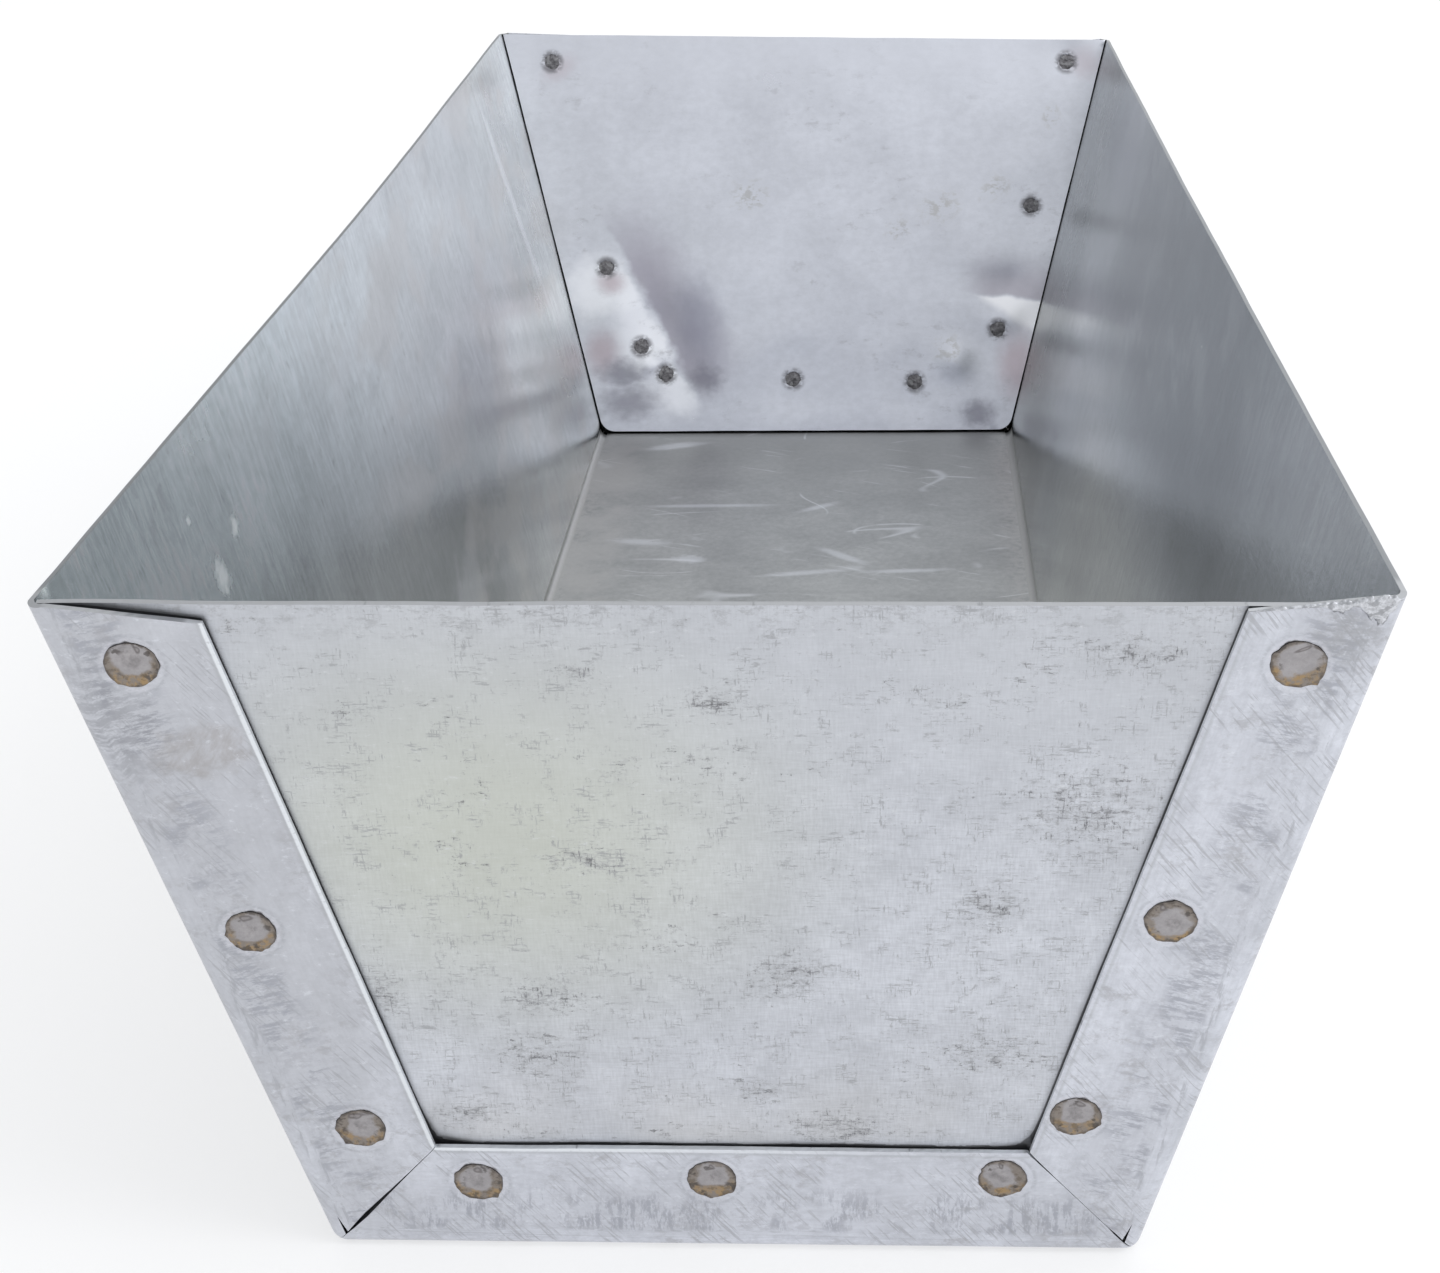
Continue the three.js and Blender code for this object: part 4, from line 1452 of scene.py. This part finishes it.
def studio_world():
    """Soft white light from all round, dimmer low down on the left, as in a room with one big window."""
    world = bpy.data.worlds.new("studio")
    world.use_nodes = True
    tree = world.node_tree
    where = tree.nodes.new("ShaderNodeTexCoord")
    split = tree.nodes.new("ShaderNodeSeparateXYZ")
    tree.links.new(where.outputs["Generated"], split.inputs[0])

    def blend(output, low, high, to_low, to_high):
        node = tree.nodes.new("ShaderNodeMapRange")
        node.interpolation_type = "SMOOTHSTEP"
        tree.links.new(output, node.inputs[0])
        for i, v in enumerate((low, high, to_low, to_high)):
            node.inputs[i + 1].default_value = v
        return node.outputs[0]

    across = blend(split.outputs["X"], -0.45, 0.25, 0.62, 1.05)
    rise = blend(split.outputs["Z"], 0.15, 0.75, 0.0, 0.12)
    total = tree.nodes.new("ShaderNodeMath")
    tree.links.new(across, total.inputs[0])
    tree.links.new(rise, total.inputs[1])
    sky = tree.nodes["Background"]
    sky.inputs["Color"].default_value = (0.96, 0.98, 1.0, 1)
    tree.links.new(total.outputs[0], sky.inputs["Strength"])
    bpy.context.scene.world = world


floor_plane()
studio_world()
bpy.context.scene.view_settings.view_transform = "Standard"

light = bpy.data.lights.new("soft_right", "AREA")
light.shape = "DISK"
light.size = 0.9
light.energy = 6.0
lamp = bpy.data.objects.new("soft_right", light)
lamp.location = (1.1, -0.9, 1.3)
lamp.rotation_euler = (Vector((0, -0.2, 0)) - lamp.location).to_track_quat("-Z", "Y").to_euler()
bpy.context.scene.collection.objects.link(lamp)

camera = bpy.data.objects.new("camera", bpy.data.cameras.new("camera"))
camera.data.sensor_width = 36.0
camera.data.lens = 71.63
camera.data.clip_start = 0.01
turn = (
    Matrix.Rotation(math.radians(3.45), 4, "Z")
    @ Matrix.Rotation(math.radians(90 - 20.09), 4, "X")
    @ Matrix.Rotation(math.radians(-1.23), 4, "Z")
)
camera.matrix_world = Matrix.Translation((0.02529, -0.66624, 0.26333)) @ turn
bpy.context.scene.collection.objects.link(camera)
bpy.context.scene.camera = camera
